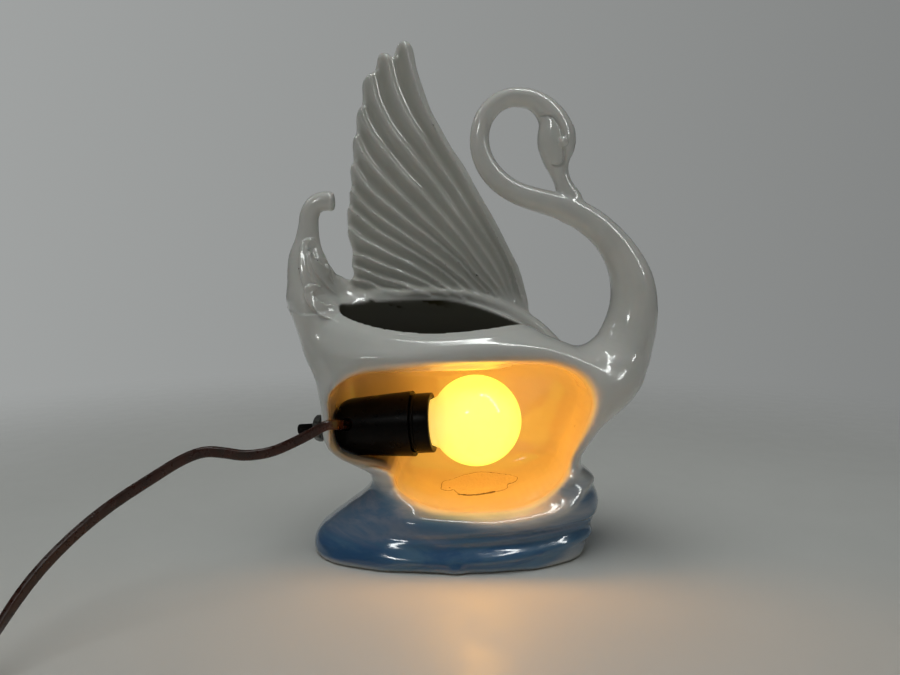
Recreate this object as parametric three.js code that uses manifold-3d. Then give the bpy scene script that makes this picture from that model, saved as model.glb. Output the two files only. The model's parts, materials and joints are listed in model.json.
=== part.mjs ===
// Swan TV lamp: a slip-cast ceramic swan planter with a lit recess, a phenolic turn-knob lampholder
// fixed through its end wall, a globe bulb, and a flat two-core cord with a plug.
// Millimetres, +Z up. X runs from the tail to the breast, +Y towards the side that faces the room,
// and the origin is on the table under the middle of the base.

import * as THREE from 'three';
import { LoftGeometry } from 'three/addons/geometries/LoftGeometry.js';
import { mergeVertices } from 'three/addons/utils/BufferGeometryUtils.js';
import Module from 'manifold-3d';

const wasm = await Module();
wasm.setup();

// ---------------------------------------------------------------------------------------------
// Driving dimensions
// ---------------------------------------------------------------------------------------------

const GAP = 0.3; // clearance between neighbouring pieces
const WALL = 5; // ceramic wall
const ROUND_SEGMENTS = 20; // facets round a turned piece
const WELD = 1e-4;

// Swan body, bottom to top: height at the near edge, left and right ends, near and far sides,
// how much higher the far edge stands, and the squareness of the outline in plan.
const BODY_STATIONS = [
  { z: 0, left: -79, right: 79, near: -47, far: 47, rise: 0, square: 2.5 },
  { z: 4, left: -79, right: 81, near: -47.5, far: 47, rise: 0, square: 2.5 },
  { z: 9, left: -75, right: 82.5, near: -46, far: 46, rise: 0, square: 2.5 },
  { z: 15, left: -67, right: 84.5, near: -43.5, far: 44.5, rise: 0, square: 2.5 },
  { z: 22, left: -58, right: 86, near: -41.5, far: 43, rise: 0, square: 2.5 },
  { z: 29, left: -50.5, right: 86.5, near: -39.5, far: 42, rise: 0, square: 2.5 },
  { z: 36, left: -46.5, right: 85, near: -38.5, far: 41, rise: 0, square: 2.5 },
  { z: 41, left: -49, right: 84, near: -39, far: 41, rise: 0, square: 2.5 },
  { z: 45, left: -59, right: 83.8, near: -39.5, far: 41.5, rise: 0, square: 2.6 },
  { z: 49, left: -67, right: 83.7, near: -40.5, far: 42.5, rise: 0, square: 2.7 },
  { z: 55, left: -71.5, right: 84, near: -41.5, far: 43.5, rise: 0, square: 2.8 },
  { z: 62, left: -73.2, right: 85.3, near: -42.5, far: 44.5, rise: 0, square: 2.8 },
  { z: 70, left: -73.8, right: 89, near: -43, far: 45, rise: 0, square: 2.8 },
  { z: 80, left: -74.2, right: 97, near: -43, far: 45, rise: 0, square: 2.8 },
  { z: 90, left: -76, right: 104, near: -41.5, far: 44, rise: 0, square: 2.7 },
  { z: 98, left: -77.5, right: 107, near: -39.5, far: 42.5, rise: 1.5, square: 2.6 },
  { z: 105, left: -79.5, right: 98, near: -37, far: 40.5, rise: 5, square: 2.5 },
  { z: 110, left: -80.5, right: 83, near: -34.5, far: 38.5, rise: 9, square: 2.4 },
  { z: 115, left: -79, right: 67, near: -30, far: 35.5, rise: 14, square: 2.3 },
  { z: 118.5, left: -75.5, right: 56, near: -26.5, far: 33, rise: 17.5, square: 2.3 },
  { z: 121.5, left: -70, right: 48.5, near: -23, far: 30, rise: 20, square: 2.3 },
  { z: 123, left: -66, right: 44.5, near: -20.5, far: 28.5, rise: 21, square: 2.3 },
];
const BODY_STEP = 8.5; // tallest band between two body sections
const BODY_FACETS = 36;
// Planter rim: its middle and half length, how much its ends stand up and lose of the far side's
// rise, towards the tail and towards the breast.
const RIM = { centre: -11, half: 55, tail: { ends: 0.38, loss: 0.35 }, breast: { ends: 0.29, loss: 1 } };

// Lamp recess: the mouth on the near side, and the wider chamber behind it, as (x, z) outlines.
const RECESS_MOUTH = [
  [-65, 79], [-61, 98], [-50, 103], [-26.5, 106], [5, 111], [37, 113.5], [58, 112.5], [71.5, 105],
  [78, 90], [77, 74], [68, 56], [65, 46.5], [62, 36], [48, 27.5], [21.5, 24], [-11, 28], [-29, 39],
  [-30, 49], [-39, 55], [-53, 58.5], [-63, 64],
];
const RECESS_CHAMBER = [
  [-67, 76], [-66, 93], [-54, 101], [-28, 104], [5, 106], [37, 107], [58, 106], [72, 99],
  [78, 87], [77, 73], [70, 57], [66, 47], [62, 37], [48, 28.5], [21, 25], [-11, 28], [-29, 38],
  [-32, 46.5], [-42, 50], [-55, 51], [-64, 56],
];
const RECESS_CENTRE = new THREE.Vector2(6, 68);
// Depth, share of the chamber outline over the mouth outline, and scale about the centre.
const RECESS_DEPTHS = [
  { y: -62, chamber: 0, scale: 1.16 },
  { y: -44, chamber: 0, scale: 1.06 },
  { y: -37, chamber: 0, scale: 1.01 },
  { y: -29, chamber: 0.4, scale: 1 },
  { y: -19, chamber: 1, scale: 1 },
  { y: 18, chamber: 1, scale: 1 },
  { y: 27, chamber: 1, scale: 0.93 },
  { y: 32, chamber: 1, scale: 0.8 },
  { y: 35, chamber: 1, scale: 0.55 },
];
const RECESS_FACETS = 36;

// Planter trough in the swan's back, floor to above the rim.
const TROUGH_STATIONS = [
  { z: 108.5, left: -38, right: 22, near: -9, far: 10 },
  { z: 110, left: -48, right: 30, near: -13, far: 14 },
  { z: 114, left: -56, right: 36, near: -15.5, far: 17 },
  { z: 122, left: -60.5, right: 40, near: -17, far: 18.5 },
  { z: 130, left: -62, right: 41, near: -17.5, far: 19 },
  { z: 160, left: -63, right: 42, near: -18, far: 19 },
];

// Neck, head and beak: centre (x, z), width in the plane of the neck and across it.
const NECK_STATIONS = [
  { x: 74, z: 82, wide: 16, deep: 36 },
  { x: 85, z: 93, wide: 31, deep: 46 },
  { x: 94.5, z: 104, wide: 34, deep: 44 },
  { x: 101, z: 116, wide: 32, deep: 37 },
  { x: 105, z: 128.5, wide: 29.5, deep: 31 },
  { x: 106.5, z: 142, wide: 26.5, deep: 27 },
  { x: 104.7, z: 155, wide: 24, deep: 24 },
  { x: 99.5, z: 167, wide: 20.5, deep: 20.5 },
  { x: 91.5, z: 178, wide: 17.8, deep: 17.8 },
  { x: 82, z: 186.5, wide: 16.5, deep: 16.5 },
  { x: 72, z: 192.5, wide: 15.6, deep: 15.4 },
  { x: 62, z: 196.6, wide: 14.4, deep: 14.4 },
  { x: 51, z: 199.6, wide: 13.4, deep: 13.4 },
  { x: 38, z: 204, wide: 12.6, deep: 12.6 },
  { x: 28, z: 210.5, wide: 12.4, deep: 12.4 },
  { x: 21, z: 219, wide: 12, deep: 12 },
  { x: 17.4, z: 228, wide: 11.3, deep: 11.3 },
  { x: 17, z: 237.5, wide: 10.8, deep: 10.8 },
  { x: 20, z: 247, wide: 10.7, deep: 10.7 },
  { x: 27, z: 254.4, wide: 10.6, deep: 10.8 },
  { x: 36, z: 257.6, wide: 10.5, deep: 11 },
  { x: 45, z: 256.8, wide: 11, deep: 11.6 },
  { x: 52.5, z: 252.6, wide: 13, deep: 12.8 },
  { x: 58, z: 246, wide: 16.4, deep: 14.6 },
  { x: 61, z: 237.5, wide: 20.6, deep: 16 },
  { x: 61.6, z: 229.5, wide: 20.4, deep: 15.6 },
  { x: 61.2, z: 222, wide: 16.4, deep: 13 },
  { x: 62.3, z: 215.5, wide: 11.6, deep: 10 },
  { x: 64.6, z: 209.5, wide: 11, deep: 9 },
  { x: 68.4, z: 203.6, wide: 11.4, deep: 9 },
  { x: 73.4, z: 199, wide: 8.4, deep: 8.4 },
];
const NECK_FACETS = 12;
const EYE = { x: 63, y: 7.4, z: 230.7, radius: 2.2 };

// Tail, from inside the body to the blunt end of the curl.
const TAIL_STATIONS = [
  { x: -56, z: 104, wide: 30, deep: 44 },
  { x: -63, z: 118, wide: 40, deep: 42 },
  { x: -69.5, z: 130, wide: 39, deep: 36 },
  { x: -75, z: 142, wide: 33, deep: 28 },
  { x: -79, z: 152, wide: 29, deep: 22 },
  { x: -81, z: 160, wide: 25.5, deep: 18 },
  { x: -82.2, z: 168, wide: 20, deep: 15 },
  { x: -82, z: 176, wide: 14, deep: 12.6 },
  { x: -81.5, z: 184, wide: 11.4, deep: 11.4 },
  { x: -80.7, z: 191.5, wide: 10.8, deep: 11 },
  { x: -77.6, z: 197, wide: 10.6, deep: 11 },
  { x: -72, z: 199.2, wide: 10.8, deep: 11 },
  { x: -65, z: 198.6, wide: 11, deep: 11 },
];
const TAIL_FACETS = 12;

// Wing: a fluted fan in a plane on the far side. Its feathers run from the root to the tips.
const WING = { y: 23.5, valley: 2.3, crest: 1.6, tip: 0.7 };
const WING_ROOT = new THREE.Vector2(44, 133);
const WING_TIPS = [
  [-22.5, 288], [-27.5, 295], [-39.6, 288], [-47.5, 275], [-53.7, 255.5], [-56.8, 239], [-58.2, 223],
  [-59.5, 210], [-60.9, 196], [-61, 184], [-58.7, 169], [-57, 155], [-60, 141], [-65, 126],
];
const WING_BOW = { leading: 6, inner: -3.5 }; // sideways bow of the first feather and of the rest
const WING_SAMPLES = 3; // section points for each feather
const WING_SECTIONS = [0.06, 0.16, 0.28, 0.4, 0.52, 0.64, 0.76, 0.87, 0.95, 1];

// Hollow that casting leaves in the base, and the drain hole through the bottom skin.
const BASE_HOLLOW = { skin: 8, floor: 5, top: 16 };
const DRAIN_HOLE = { x: 44, y: 0, radius: 5 };

// Lampholder axis: where it meets the inner face of the end wall, and its direction to the bulb.
const HOLDER_ORIGIN = new THREE.Vector3(-66, 5.4, 66.7);
const HOLDER_AXIS = new THREE.Vector3(0.987, -0.139, 0.08).normalize();
const END_WALL = 7; // end wall thickness at the lampholder

// Distances along the lampholder axis from the inner face of the end wall, outside being negative.
const SHELL = { back: 2, front: 46, rearRadius: 16.7, frontRadius: 19.1, wall: 2.7, cavity: 7.2 };
const CORD_HOLE = { at: 9.5, radius: 3.9, angle: THREE.MathUtils.degToRad(15) };
const FRONT_RING = { front: 57, radius: 17.4, bore: 14.2, spigot: 3 };
const SCREW_SHELL = { back: 28.3, front: 54, bore: 13.3, sheet: 0.5, hole: 8 };
const BLOCK = { back: 25, front: 28, radius: 13.3 };
const BUSHING = { outer: 5, bore: 2.4, front: 7, flange: 8, back: -15 };
const SHAFT = { radius: 1.8, back: -24, front: 17.5 };
const KNOB = { radius: 3.1, back: -25.3, front: -15.3 };
const ROTOR = { back: 13, front: 17.5, radius: 6.5 };
const SPRING = { back: 7.6, front: 12.4, radius: 3.7, wire: 0.35, turns: 3.5 };
const SCREW = { head: 2.9, headHeight: 1.7, shank: 1.3, hole: 1.7, ring: 9.2 };
const SCREW_ANGLES = { line: THREE.MathUtils.degToRad(53), neutral: THREE.MathUtils.degToRad(-23) };

const BULB = { centre: 82, radius: 26.2, neckRadius: 12, neckBack: 47, neckFront: 54.5, glass: 0.8 };
const BULB_BASE = { tip: 32, back: 35.4, front: 52.5, radius: 12.95, sheet: 0.35 };

// Cord: two cores side by side, its route from the lampholder to the plug, and the plug itself.
const CORD = { core: 1.6, pitch: 2.8 };
const CONDUCTOR = { radius: 1.15 };
const CORD_ROUTE = [
  [-62, -25, 74.4], [-67, -31, 75.2], [-74.5, -34.5, 71.4], [-84.5, -38.5, 66.8], [-94, -43, 63.6],
  [-105, -49, 63.4], [-113, -55, 66.2], [-121, -60, 68], [-129, -65.5, 66], [-141, -76, 58.8],
  [-154, -88, 50], [-163.5, -103, 40.6], [-170, -121, 29.2], [-174, -137, 15], [-173, -150, 5.2],
];
const CORD_TWIST = { from: 13, to: 16 }; // route points between which the cord turns on edge to flat
const CORD_REST = 2; // height of the cord's centre where it lies on the table
const CORD_FOLDS = { left: -158, right: -34, first: -158, pitch: 17, count: 5 };
const PLUG = { back: -41, front: -20, width: 24, thick: 13, corner: 4.5, wall: 2, rear: 5 };
const BLADE = { width: 6.35, thick: 1.5, length: 17.5, inside: 8, spacing: 12.7, hole: 1.6 };

// ---------------------------------------------------------------------------------------------
// Materials
// ---------------------------------------------------------------------------------------------

function material(color, roughness, metalness = 0) {
  return new THREE.MeshStandardMaterial({ color, roughness, metalness });
}

const glazedWhite = () => material(0xe9e6dc, 0.12);
const phenolic = () => material(0x17110e, 0.35);
const brass = () => material(0xb08d4c, 0.35, 1);
const platedSteel = () => material(0x8d8c88, 0.4, 1);
const fibre = () => material(0x3c2c22, 0.8);
const cordRubber = () => material(0x45180e, 0.45);

// ---------------------------------------------------------------------------------------------
// Shape helpers
// ---------------------------------------------------------------------------------------------

function signedVolume(geometry) {
  const position = geometry.attributes.position;
  const index = geometry.index;
  const corner = [new THREE.Vector3(), new THREE.Vector3(), new THREE.Vector3()];
  let total = 0;
  for (let i = 0; i < index.count; i += 3) {
    corner.forEach((point, k) => point.fromBufferAttribute(position, index.getX(i + k)));
    total += corner[0].dot(corner[1].clone().cross(corner[2])) / 6;
  }
  return total;
}

// A section drawn in to its own middle, which closes the end of a loft.
function pinched(section) {
  const middle = new THREE.Vector3();
  for (const point of section) middle.addScaledVector(point, 1 / section.length);
  return section.map(() => middle.clone());
}

// A closed loft whose faces point out whichever way round its sections were listed.
function loft(sections) {
  const closed = [pinched(sections[0]), ...sections, pinched(sections.at(-1))];
  const geometry = welded(new LoftGeometry(closed));
  if (signedVolume(geometry) > 0) return geometry;
  return welded(new LoftGeometry(closed.map((section) => [...section].reverse())));
}

// One closed geometry with shared vertices and no collapsed triangles.
function welded(geometry) {
  const bare = new THREE.BufferGeometry();
  bare.setAttribute('position', geometry.attributes.position.clone());
  if (geometry.index) bare.setIndex(geometry.index.clone());
  const merged = mergeVertices(bare, WELD);
  const corners = [];
  for (let i = 0; i < merged.index.count; i += 3) {
    const [a, b, c] = [0, 1, 2].map((k) => merged.index.getX(i + k));
    if (a !== b && b !== c && c !== a) corners.push(a, b, c);
  }
  merged.setIndex(corners);
  return merged;
}

function toSolid(geometry) {
  const shape = welded(geometry);
  return new wasm.Manifold(new wasm.Mesh({
    numProp: 3,
    vertProperties: new Float32Array(shape.attributes.position.array),
    triVerts: new Uint32Array(shape.index.array),
  }));
}

function toGeometry(solid) {
  const mesh = solid.getMesh();
  const geometry = new THREE.BufferGeometry();
  geometry.setAttribute('position', new THREE.BufferAttribute(new Float32Array(mesh.vertProperties), 3));
  geometry.setIndex(Array.from(mesh.triVerts));
  geometry.computeVertexNormals();
  return geometry;
}

function cut(geometry, ...tools) {
  let solid = toSolid(geometry);
  for (const tool of tools) solid = solid.subtract(toSolid(tool));
  return toGeometry(solid);
}

function join(...shapes) {
  let solid = toSolid(shapes[0]);
  for (const shape of shapes.slice(1)) solid = solid.add(toSolid(shape));
  return toGeometry(solid);
}

// A turned piece from (radius, height) pairs, about its own Y axis. A profile that doesn't touch
// the axis is a ring, and closes on itself.
function turned(profile, segments = ROUND_SEGMENTS) {
  const points = profile.map(([radius, height]) => new THREE.Vector2(radius, height));
  const touchesAxis = profile[0][0] === 0 && profile.at(-1)[0] === 0;
  if (!touchesAxis) points.push(points[0].clone());
  const geometry = welded(new THREE.LatheGeometry(points, segments));
  if (signedVolume(geometry) > 0) return geometry;
  return welded(new THREE.LatheGeometry(points.reverse(), segments));
}

function washer(bore, radius, back, front, segments = ROUND_SEGMENTS) {
  return turned([[bore, back], [radius, back], [radius, front], [bore, front]], segments);
}

function disc(radius, back, front, segments = ROUND_SEGMENTS) {
  return turned([[0, back], [radius, back], [radius, front], [0, front]], segments);
}

function box(sizeX, sizeY, sizeZ, x, y, z) {
  return new THREE.BoxGeometry(sizeX, sizeY, sizeZ).translate(x, y, z);
}

function polygon(points) {
  return new THREE.Shape(points.map(([x, y]) => new THREE.Vector2(x, y)));
}

function circleShape(radius, sides) {
  const points = Array.from({ length: sides }, (_, i) => {
    const angle = (2 * Math.PI * i) / sides;
    return [radius * Math.cos(angle), radius * Math.sin(angle)];
  });
  return polygon(points);
}

function tube(points, radius, steps, sides = 8) {
  const path = new THREE.CatmullRomCurve3(points, false, 'centripetal');
  return new THREE.ExtrudeGeometry(circleShape(radius, sides), { extrudePath: path, steps });
}

// ---------------------------------------------------------------------------------------------
// Ceramic swan
// ---------------------------------------------------------------------------------------------

// Smooth values of a station table at a height.
function stationReader(stations, names) {
  const heights = stations.map((station) => station.z);
  const values = stations.flatMap((station) => names.map((name) => station[name]));
  const spline = new THREE.CubicInterpolant(heights, values, names.length);
  return (z) => {
    const result = spline.evaluate(z);
    return Object.fromEntries(names.map((name, i) => [name, result[i]]));
  };
}

// Heights of a station table, with extra ones where two stations are far apart.
function heightsOf(stations, step) {
  const heights = [stations[0].z];
  for (const { z } of stations.slice(1)) {
    const low = heights.at(-1);
    const bands = Math.ceil((z - low) / step);
    for (let i = 1; i <= bands; i += 1) heights.push(low + ((z - low) * i) / bands);
  }
  return heights;
}

// The part of a section's rise that applies at x, for a place that is share of the way to the far side.
function riseShare(x, share) {
  const along = THREE.MathUtils.clamp((x - RIM.centre) / RIM.half, -1.15, 1.15);
  const { ends, loss } = along < 0 ? RIM.tail : RIM.breast;
  return share * (1 - loss * along ** 2) + ends * along ** 2;
}

// A ring in plan: an ellipse made squarer, with the far side of the ring raised.
function planRing(z, { left, right, near, far, rise = 0, square = 2.3 }, facets) {
  const middle = (left + right) / 2;
  const half = (right - left) / 2;
  return Array.from({ length: facets }, (_, i) => {
    const angle = (2 * Math.PI * i) / facets;
    const across = Math.cos(angle);
    const along = Math.sin(angle);
    const reach = (Math.abs(across) ** square + Math.abs(along) ** square) ** (-1 / square);
    const x = middle + half * across * reach;
    const y = along * reach * (along < 0 ? -near : far);
    return new THREE.Vector3(x, y, z + rise * riseShare(x, (y - near) / (far - near)));
  });
}

function bodyForm() {
  const read = stationReader(BODY_STATIONS, ['left', 'right', 'near', 'far', 'rise', 'square']);
  const heights = heightsOf(BODY_STATIONS, BODY_STEP);
  return loft(heights.map((z) => planRing(z, read(z), BODY_FACETS)));
}

// The body drawn in by a wall's thickness, with its near side left where it is.
function innerForm() {
  const inset = BODY_STATIONS.map((station) => ({
    ...station,
    left: station.left + END_WALL - 0.3,
    right: station.right - WALL,
    far: station.far - WALL,
  }));
  return loft(inset.map((station) => planRing(station.z, station, BODY_FACETS)));
}

function troughForm(grow) {
  const stations = TROUGH_STATIONS.map((station) => ({
    z: station.z === TROUGH_STATIONS.at(-1).z ? station.z : station.z - grow,
    left: station.left - grow,
    right: station.right + grow,
    near: station.near - grow,
    far: station.far + grow,
  }));
  return loft(stations.map((station) => planRing(station.z, station, BODY_FACETS)));
}

function outlinePoints(outline) {
  const points = outline.map(([x, z]) => new THREE.Vector3(x, 0, z));
  const curve = new THREE.CatmullRomCurve3(points, true, 'centripetal');
  return Array.from({ length: RECESS_FACETS }, (_, i) => curve.getPoint(i / RECESS_FACETS));
}

function recessForm() {
  const mouth = outlinePoints(RECESS_MOUTH);
  const chamber = outlinePoints(RECESS_CHAMBER);
  const sections = RECESS_DEPTHS.map(({ y, chamber: share, scale }) => mouth.map((point, i) => {
    const mixed = point.clone().lerp(chamber[i], share);
    const x = RECESS_CENTRE.x + (mixed.x - RECESS_CENTRE.x) * scale;
    const z = RECESS_CENTRE.y + (mixed.z - RECESS_CENTRE.y) * scale;
    return new THREE.Vector3(x, y, z);
  }));
  return loft(sections);
}

// What is cut out of the body for the lamp: the recess, kept inside the walls and off the planter.
function recessCut() {
  const nearRegion = box(400, 100, 400, 0, -62, 68);
  const allowed = toSolid(nearRegion).add(toSolid(innerForm()));
  const recess = toSolid(recessForm()).intersect(allowed);
  return recess.subtract(toSolid(troughForm(WALL)));
}

// A limb in the plane y = 0 with elliptical sections square to its centreline.
function limb(stations, facets) {
  const path = new THREE.CatmullRomCurve3(stations.map(({ x, z }) => new THREE.Vector3(x, 0, z)));
  const sections = stations.map(({ wide, deep }, i) => {
    const share = i / (stations.length - 1);
    const tangent = path.getTangent(share);
    const side = new THREE.Vector3(tangent.z, 0, -tangent.x);
    const centre = path.getPoint(share);
    return Array.from({ length: facets }, (_, k) => {
      const angle = (2 * Math.PI * (k + 0.5)) / facets;
      const offset = side.clone().multiplyScalar((wide / 2) * Math.cos(angle));
      offset.y = (deep / 2) * Math.sin(angle);
      return centre.clone().add(offset);
    });
  });
  return loft(sections);
}

function eyes() {
  return [-1, 1].map((side) => new THREE.SphereGeometry(EYE.radius, 10, 6)
    .translate(EYE.x, side * EYE.y, EYE.z));
}

// A place on the fan: reach is 0 at the root and 1 at the tips, feather counts from the leading edge.
function wingPlace(reach, feather, tips) {
  const tip = tips.getPoint(feather / (WING_TIPS.length - 1));
  const span = new THREE.Vector2(tip.x, tip.y).sub(WING_ROOT);
  const scallop = 1 - 0.02 * (1 + Math.cos(2 * Math.PI * feather)) * Math.min(1, feather);
  const bow = THREE.MathUtils.lerp(WING_BOW.leading, WING_BOW.inner, Math.min(1, feather / 2));
  const fade = 1 - Math.max(0, feather - 6) / (WING_TIPS.length - 7);
  const sideways = bow * fade * Math.sin(Math.PI * reach);
  const normal = new THREE.Vector2(span.y, -span.x).normalize();
  return WING_ROOT.clone()
    .addScaledVector(span, reach * (1 - (1 - scallop) * reach ** 4))
    .addScaledVector(normal, sideways);
}

function wingForm() {
  const tips = new THREE.SplineCurve(WING_TIPS.map(([x, z]) => new THREE.Vector2(x, z)));
  const count = (WING_TIPS.length - 1) * WING_SAMPLES;
  const feathers = Array.from({ length: count + 1 }, (_, i) => i / WING_SAMPLES);
  const sections = WING_SECTIONS.map((reach) => {
    const fade = reach > 0.9 ? THREE.MathUtils.lerp(1, WING.tip, (reach - 0.9) * 10) : 1;
    const side = (direction) => feathers.map((feather) => {
      const place = wingPlace(reach, feather, tips);
      const crest = -Math.cos(2 * Math.PI * feather) * WING.crest * Math.min(1, feather, reach * 2);
      const half = (WING.valley + WING.crest / 2 + crest / 2) * fade;
      return new THREE.Vector3(place.x, WING.y + direction * half, place.y);
    });
    return [...side(-1), ...side(1).reverse()];
  });
  return loft(sections);
}

function baseHollow() {
  const { skin, floor, top } = BASE_HOLLOW;
  const read = stationReader(BODY_STATIONS, ['left', 'right', 'near', 'far']);
  const sections = [floor, 9, top].map((z) => {
    const { left, right, near, far } = read(z);
    return planRing(z, { left: left + skin, right: right - skin, near: near + skin, far: far - skin }, 24);
  });
  const drain = new THREE.CylinderGeometry(DRAIN_HOLE.radius, DRAIN_HOLE.radius, 2 * floor + 2, 16)
    .rotateX(Math.PI / 2)
    .translate(DRAIN_HOLE.x, DRAIN_HOLE.y, 0);
  return join(loft(sections), drain);
}

// Hole for the bushing, a flat seat outside it, and the pocket that the lampholder lies in.
function holderSeats() {
  const hole = disc(BUSHING.outer + 0.6, -30, 20);
  const outside = disc(9.5, -30, -END_WALL);
  const pocket = turned([[0, 0], [14.4, 0], [SHELL.rearRadius + 0.9, 6],
    [SHELL.frontRadius + 0.9, SHELL.front + 1], [0, SHELL.front + 1]]);
  return [hole, outside, pocket].map((shape) => shape.applyMatrix4(holderFrame()));
}

function ceramicSwan() {
  const wing = toSolid(wingForm());
  const limbs = toSolid(limb(NECK_STATIONS, NECK_FACETS)).add(toSolid(limb(TAIL_STATIONS, TAIL_FACETS)));
  let swan = toSolid(bodyForm()).add(wing).add(limbs);
  for (const eye of eyes()) swan = swan.add(toSolid(eye));
  swan = swan.subtract(recessCut()).subtract(toSolid(troughForm(0))).subtract(toSolid(baseHollow()));
  for (const seat of holderSeats()) swan = swan.subtract(toSolid(seat));
  return toGeometry(swan);
}

// ---------------------------------------------------------------------------------------------
// Lampholder. Its pieces are drawn with Y along the lampholder axis, X towards the near side and
// Z up, so a height in a turned profile is a distance along the axis.
// ---------------------------------------------------------------------------------------------

function holderFrame() {
  const near = new THREE.Vector3(HOLDER_AXIS.y, -HOLDER_AXIS.x, 0).normalize();
  const up = near.clone().cross(HOLDER_AXIS);
  return new THREE.Matrix4().makeBasis(near, HOLDER_AXIS, up).setPosition(HOLDER_ORIGIN);
}

function holderPoint(near, along, up) {
  return new THREE.Vector3(near, along, up);
}

function shellRadius(along) {
  const share = (along - SHELL.back) / (SHELL.front - SHELL.back);
  return THREE.MathUtils.lerp(SHELL.rearRadius, SHELL.frontRadius, share);
}

function socketShell() {
  const { back, front, wall } = SHELL;
  const outer = [[11.5, back], [14.3, back + 1.1], [15.4, back + 3], [shellRadius(back + 6), back + 6],
    [shellRadius(front), front]];
  const inner = [[shellRadius(front) - wall, front], [shellRadius(back + 6) - wall, back + 5.2],
    [11.5, back + 3.2], [BUSHING.outer + GAP, back + 3.2], [BUSHING.outer + GAP, back]];
  const cordHole = new THREE.CylinderGeometry(CORD_HOLE.radius, CORD_HOLE.radius, 12, 16)
    .rotateZ(Math.PI / 2)
    .translate(shellRadius(CORD_HOLE.at), 0, 0)
    .rotateY(-CORD_HOLE.angle)
    .translate(0, CORD_HOLE.at, 0);
  return cut(turned([...outer, ...inner]), cordHole);
}

function socketFrontRing() {
  const { front, radius, bore, spigot } = FRONT_RING;
  const back = SHELL.front + GAP;
  const spigotRadius = shellRadius(SHELL.front - spigot) - SHELL.wall - GAP;
  return turned([[bore, front], [radius - 0.6, front], [radius, front - 0.6], [radius, back],
    [spigotRadius, back], [spigotRadius, back - spigot], [bore, back - spigot]].reverse());
}

function screwShell() {
  const { back, front, bore, sheet, hole } = SCREW_SHELL;
  return turned([[bore, front], [bore + sheet, front], [bore + sheet, back], [hole, back],
    [hole, back + sheet], [bore, back + sheet]].reverse());
}

function onRing(radius, angle, along) {
  return holderPoint(radius * Math.cos(angle), along, radius * Math.sin(angle));
}

function terminalBlock() {
  const holes = Object.values(SCREW_ANGLES).map((angle) => {
    const place = onRing(SCREW.ring, angle, 0);
    return disc(SCREW.hole, BLOCK.back - 1, BLOCK.front + 1, 12).translate(place.x, 0, place.z);
  });
  const rivetHole = disc(1.4, BLOCK.back - 1, BLOCK.front + 1, 12).translate(-5.2, 0, 0);
  return cut(disc(BLOCK.radius, BLOCK.back, BLOCK.front), ...holes, rivetHole);
}

function terminalScrew(angle) {
  const { head, headHeight, shank } = SCREW;
  const top = BLOCK.back - GAP;
  const place = onRing(SCREW.ring, angle, 0);
  const screw = turned([[0, top - headHeight], [head - 0.5, top - headHeight], [head, top - 0.9],
    [head, top], [shank, top], [shank, BLOCK.front - 0.4], [0, BLOCK.front - 0.4]], 16);
  const slot = box(2 * head + 1, 0.8, 0.7, 0, top - headHeight, 0);
  return cut(screw, slot).translate(place.x, 0, place.z);
}

function centreContact() {
  const base = BLOCK.front + GAP;
  const leaf = polygon([[-7.2, base], [-3.2, base], [-0.8, 31], [2.4, 31.2], [2.4, 31.7], [-1.1, 31.5],
    [-3.4, base + 0.5], [-7.2, base + 0.5]]);
  return new THREE.ExtrudeGeometry(leaf, { depth: 4.4, bevelEnabled: false }).translate(0, 0, -2.2);
}

function contactRivet() {
  return turned([[0, BLOCK.back - 1.1], [1.9, BLOCK.back - 1.1], [1.9, BLOCK.back - GAP],
    [1.1, BLOCK.back - GAP], [1.1, BLOCK.front], [0, BLOCK.front]], 12).translate(-5.2, 0, 0);
}

// A spring blade: its foot lies on the terminal block and its leg reaches back to the rotor.
function switchBlade(side) {
  const foot = BLOCK.back - GAP - (side < 0 ? 1.2 : 0);
  const legBack = ROTOR.front + 1.5;
  const blade = polygon([[3.6, foot], [3.6, legBack], [4.2, legBack], [4.2, foot - 0.6], [5.8, foot - 0.6],
    [5.8, foot]]);
  return new THREE.ExtrudeGeometry(blade, { depth: 3, bevelEnabled: false })
    .translate(0, 0, -1.5)
    .rotateY(side > 0 ? -SCREW_ANGLES.line : -SCREW_ANGLES.line + Math.PI);
}

function threadedBushing() {
  const { outer, bore, front, flange, back } = BUSHING;
  const inside = SHELL.back + 3.2 + GAP;
  return turned([[bore, back], [outer - 0.5, back], [outer, back + 0.5], [outer, inside], [flange, inside],
    [flange, front], [bore, front]]);
}

function hexNut(back, front) {
  const hexagon = circleShape(7.25 / Math.cos(Math.PI / 6) - 0.6, 6);
  const bore = new THREE.Path().absarc(0, 0, BUSHING.outer + GAP, 0, 2 * Math.PI);
  hexagon.holes.push(bore);
  return new THREE.ExtrudeGeometry(hexagon, { depth: front - back, bevelEnabled: false, curveSegments: 12 })
    .rotateX(-Math.PI / 2)
    .translate(0, back, 0);
}

// An internal-tooth washer with its ring of twisted teeth drawn as notches.
function lockWasher(back, front) {
  const ring = washer(BUSHING.outer + GAP, 7.2, back, front);
  const notches = Array.from({ length: 8 }, (_, i) => box(1, 3, 1.4, BUSHING.outer + 0.6, back, 0)
    .rotateY((i * Math.PI) / 4));
  return cut(ring, ...notches);
}

function switchShaft() {
  return disc(SHAFT.radius, SHAFT.back, SHAFT.front, 16);
}

function switchKnob() {
  const { radius, back, front } = KNOB;
  const bore = SHAFT.radius + GAP;
  const floor = SHAFT.back - GAP;
  const knob = turned([[0, back], [1.6, back + 0.2], [2.7, back + 1], [radius, back + 2.4],
    [radius, front], [bore, front], [bore, floor], [0, floor]]);
  const flutes = Array.from({ length: 8 }, (_, i) => box(0.8, 5.4, 0.8, radius + 0.1, back + 5.6, 0)
    .rotateY((i * Math.PI) / 4));
  return cut(knob, ...flutes);
}

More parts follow.
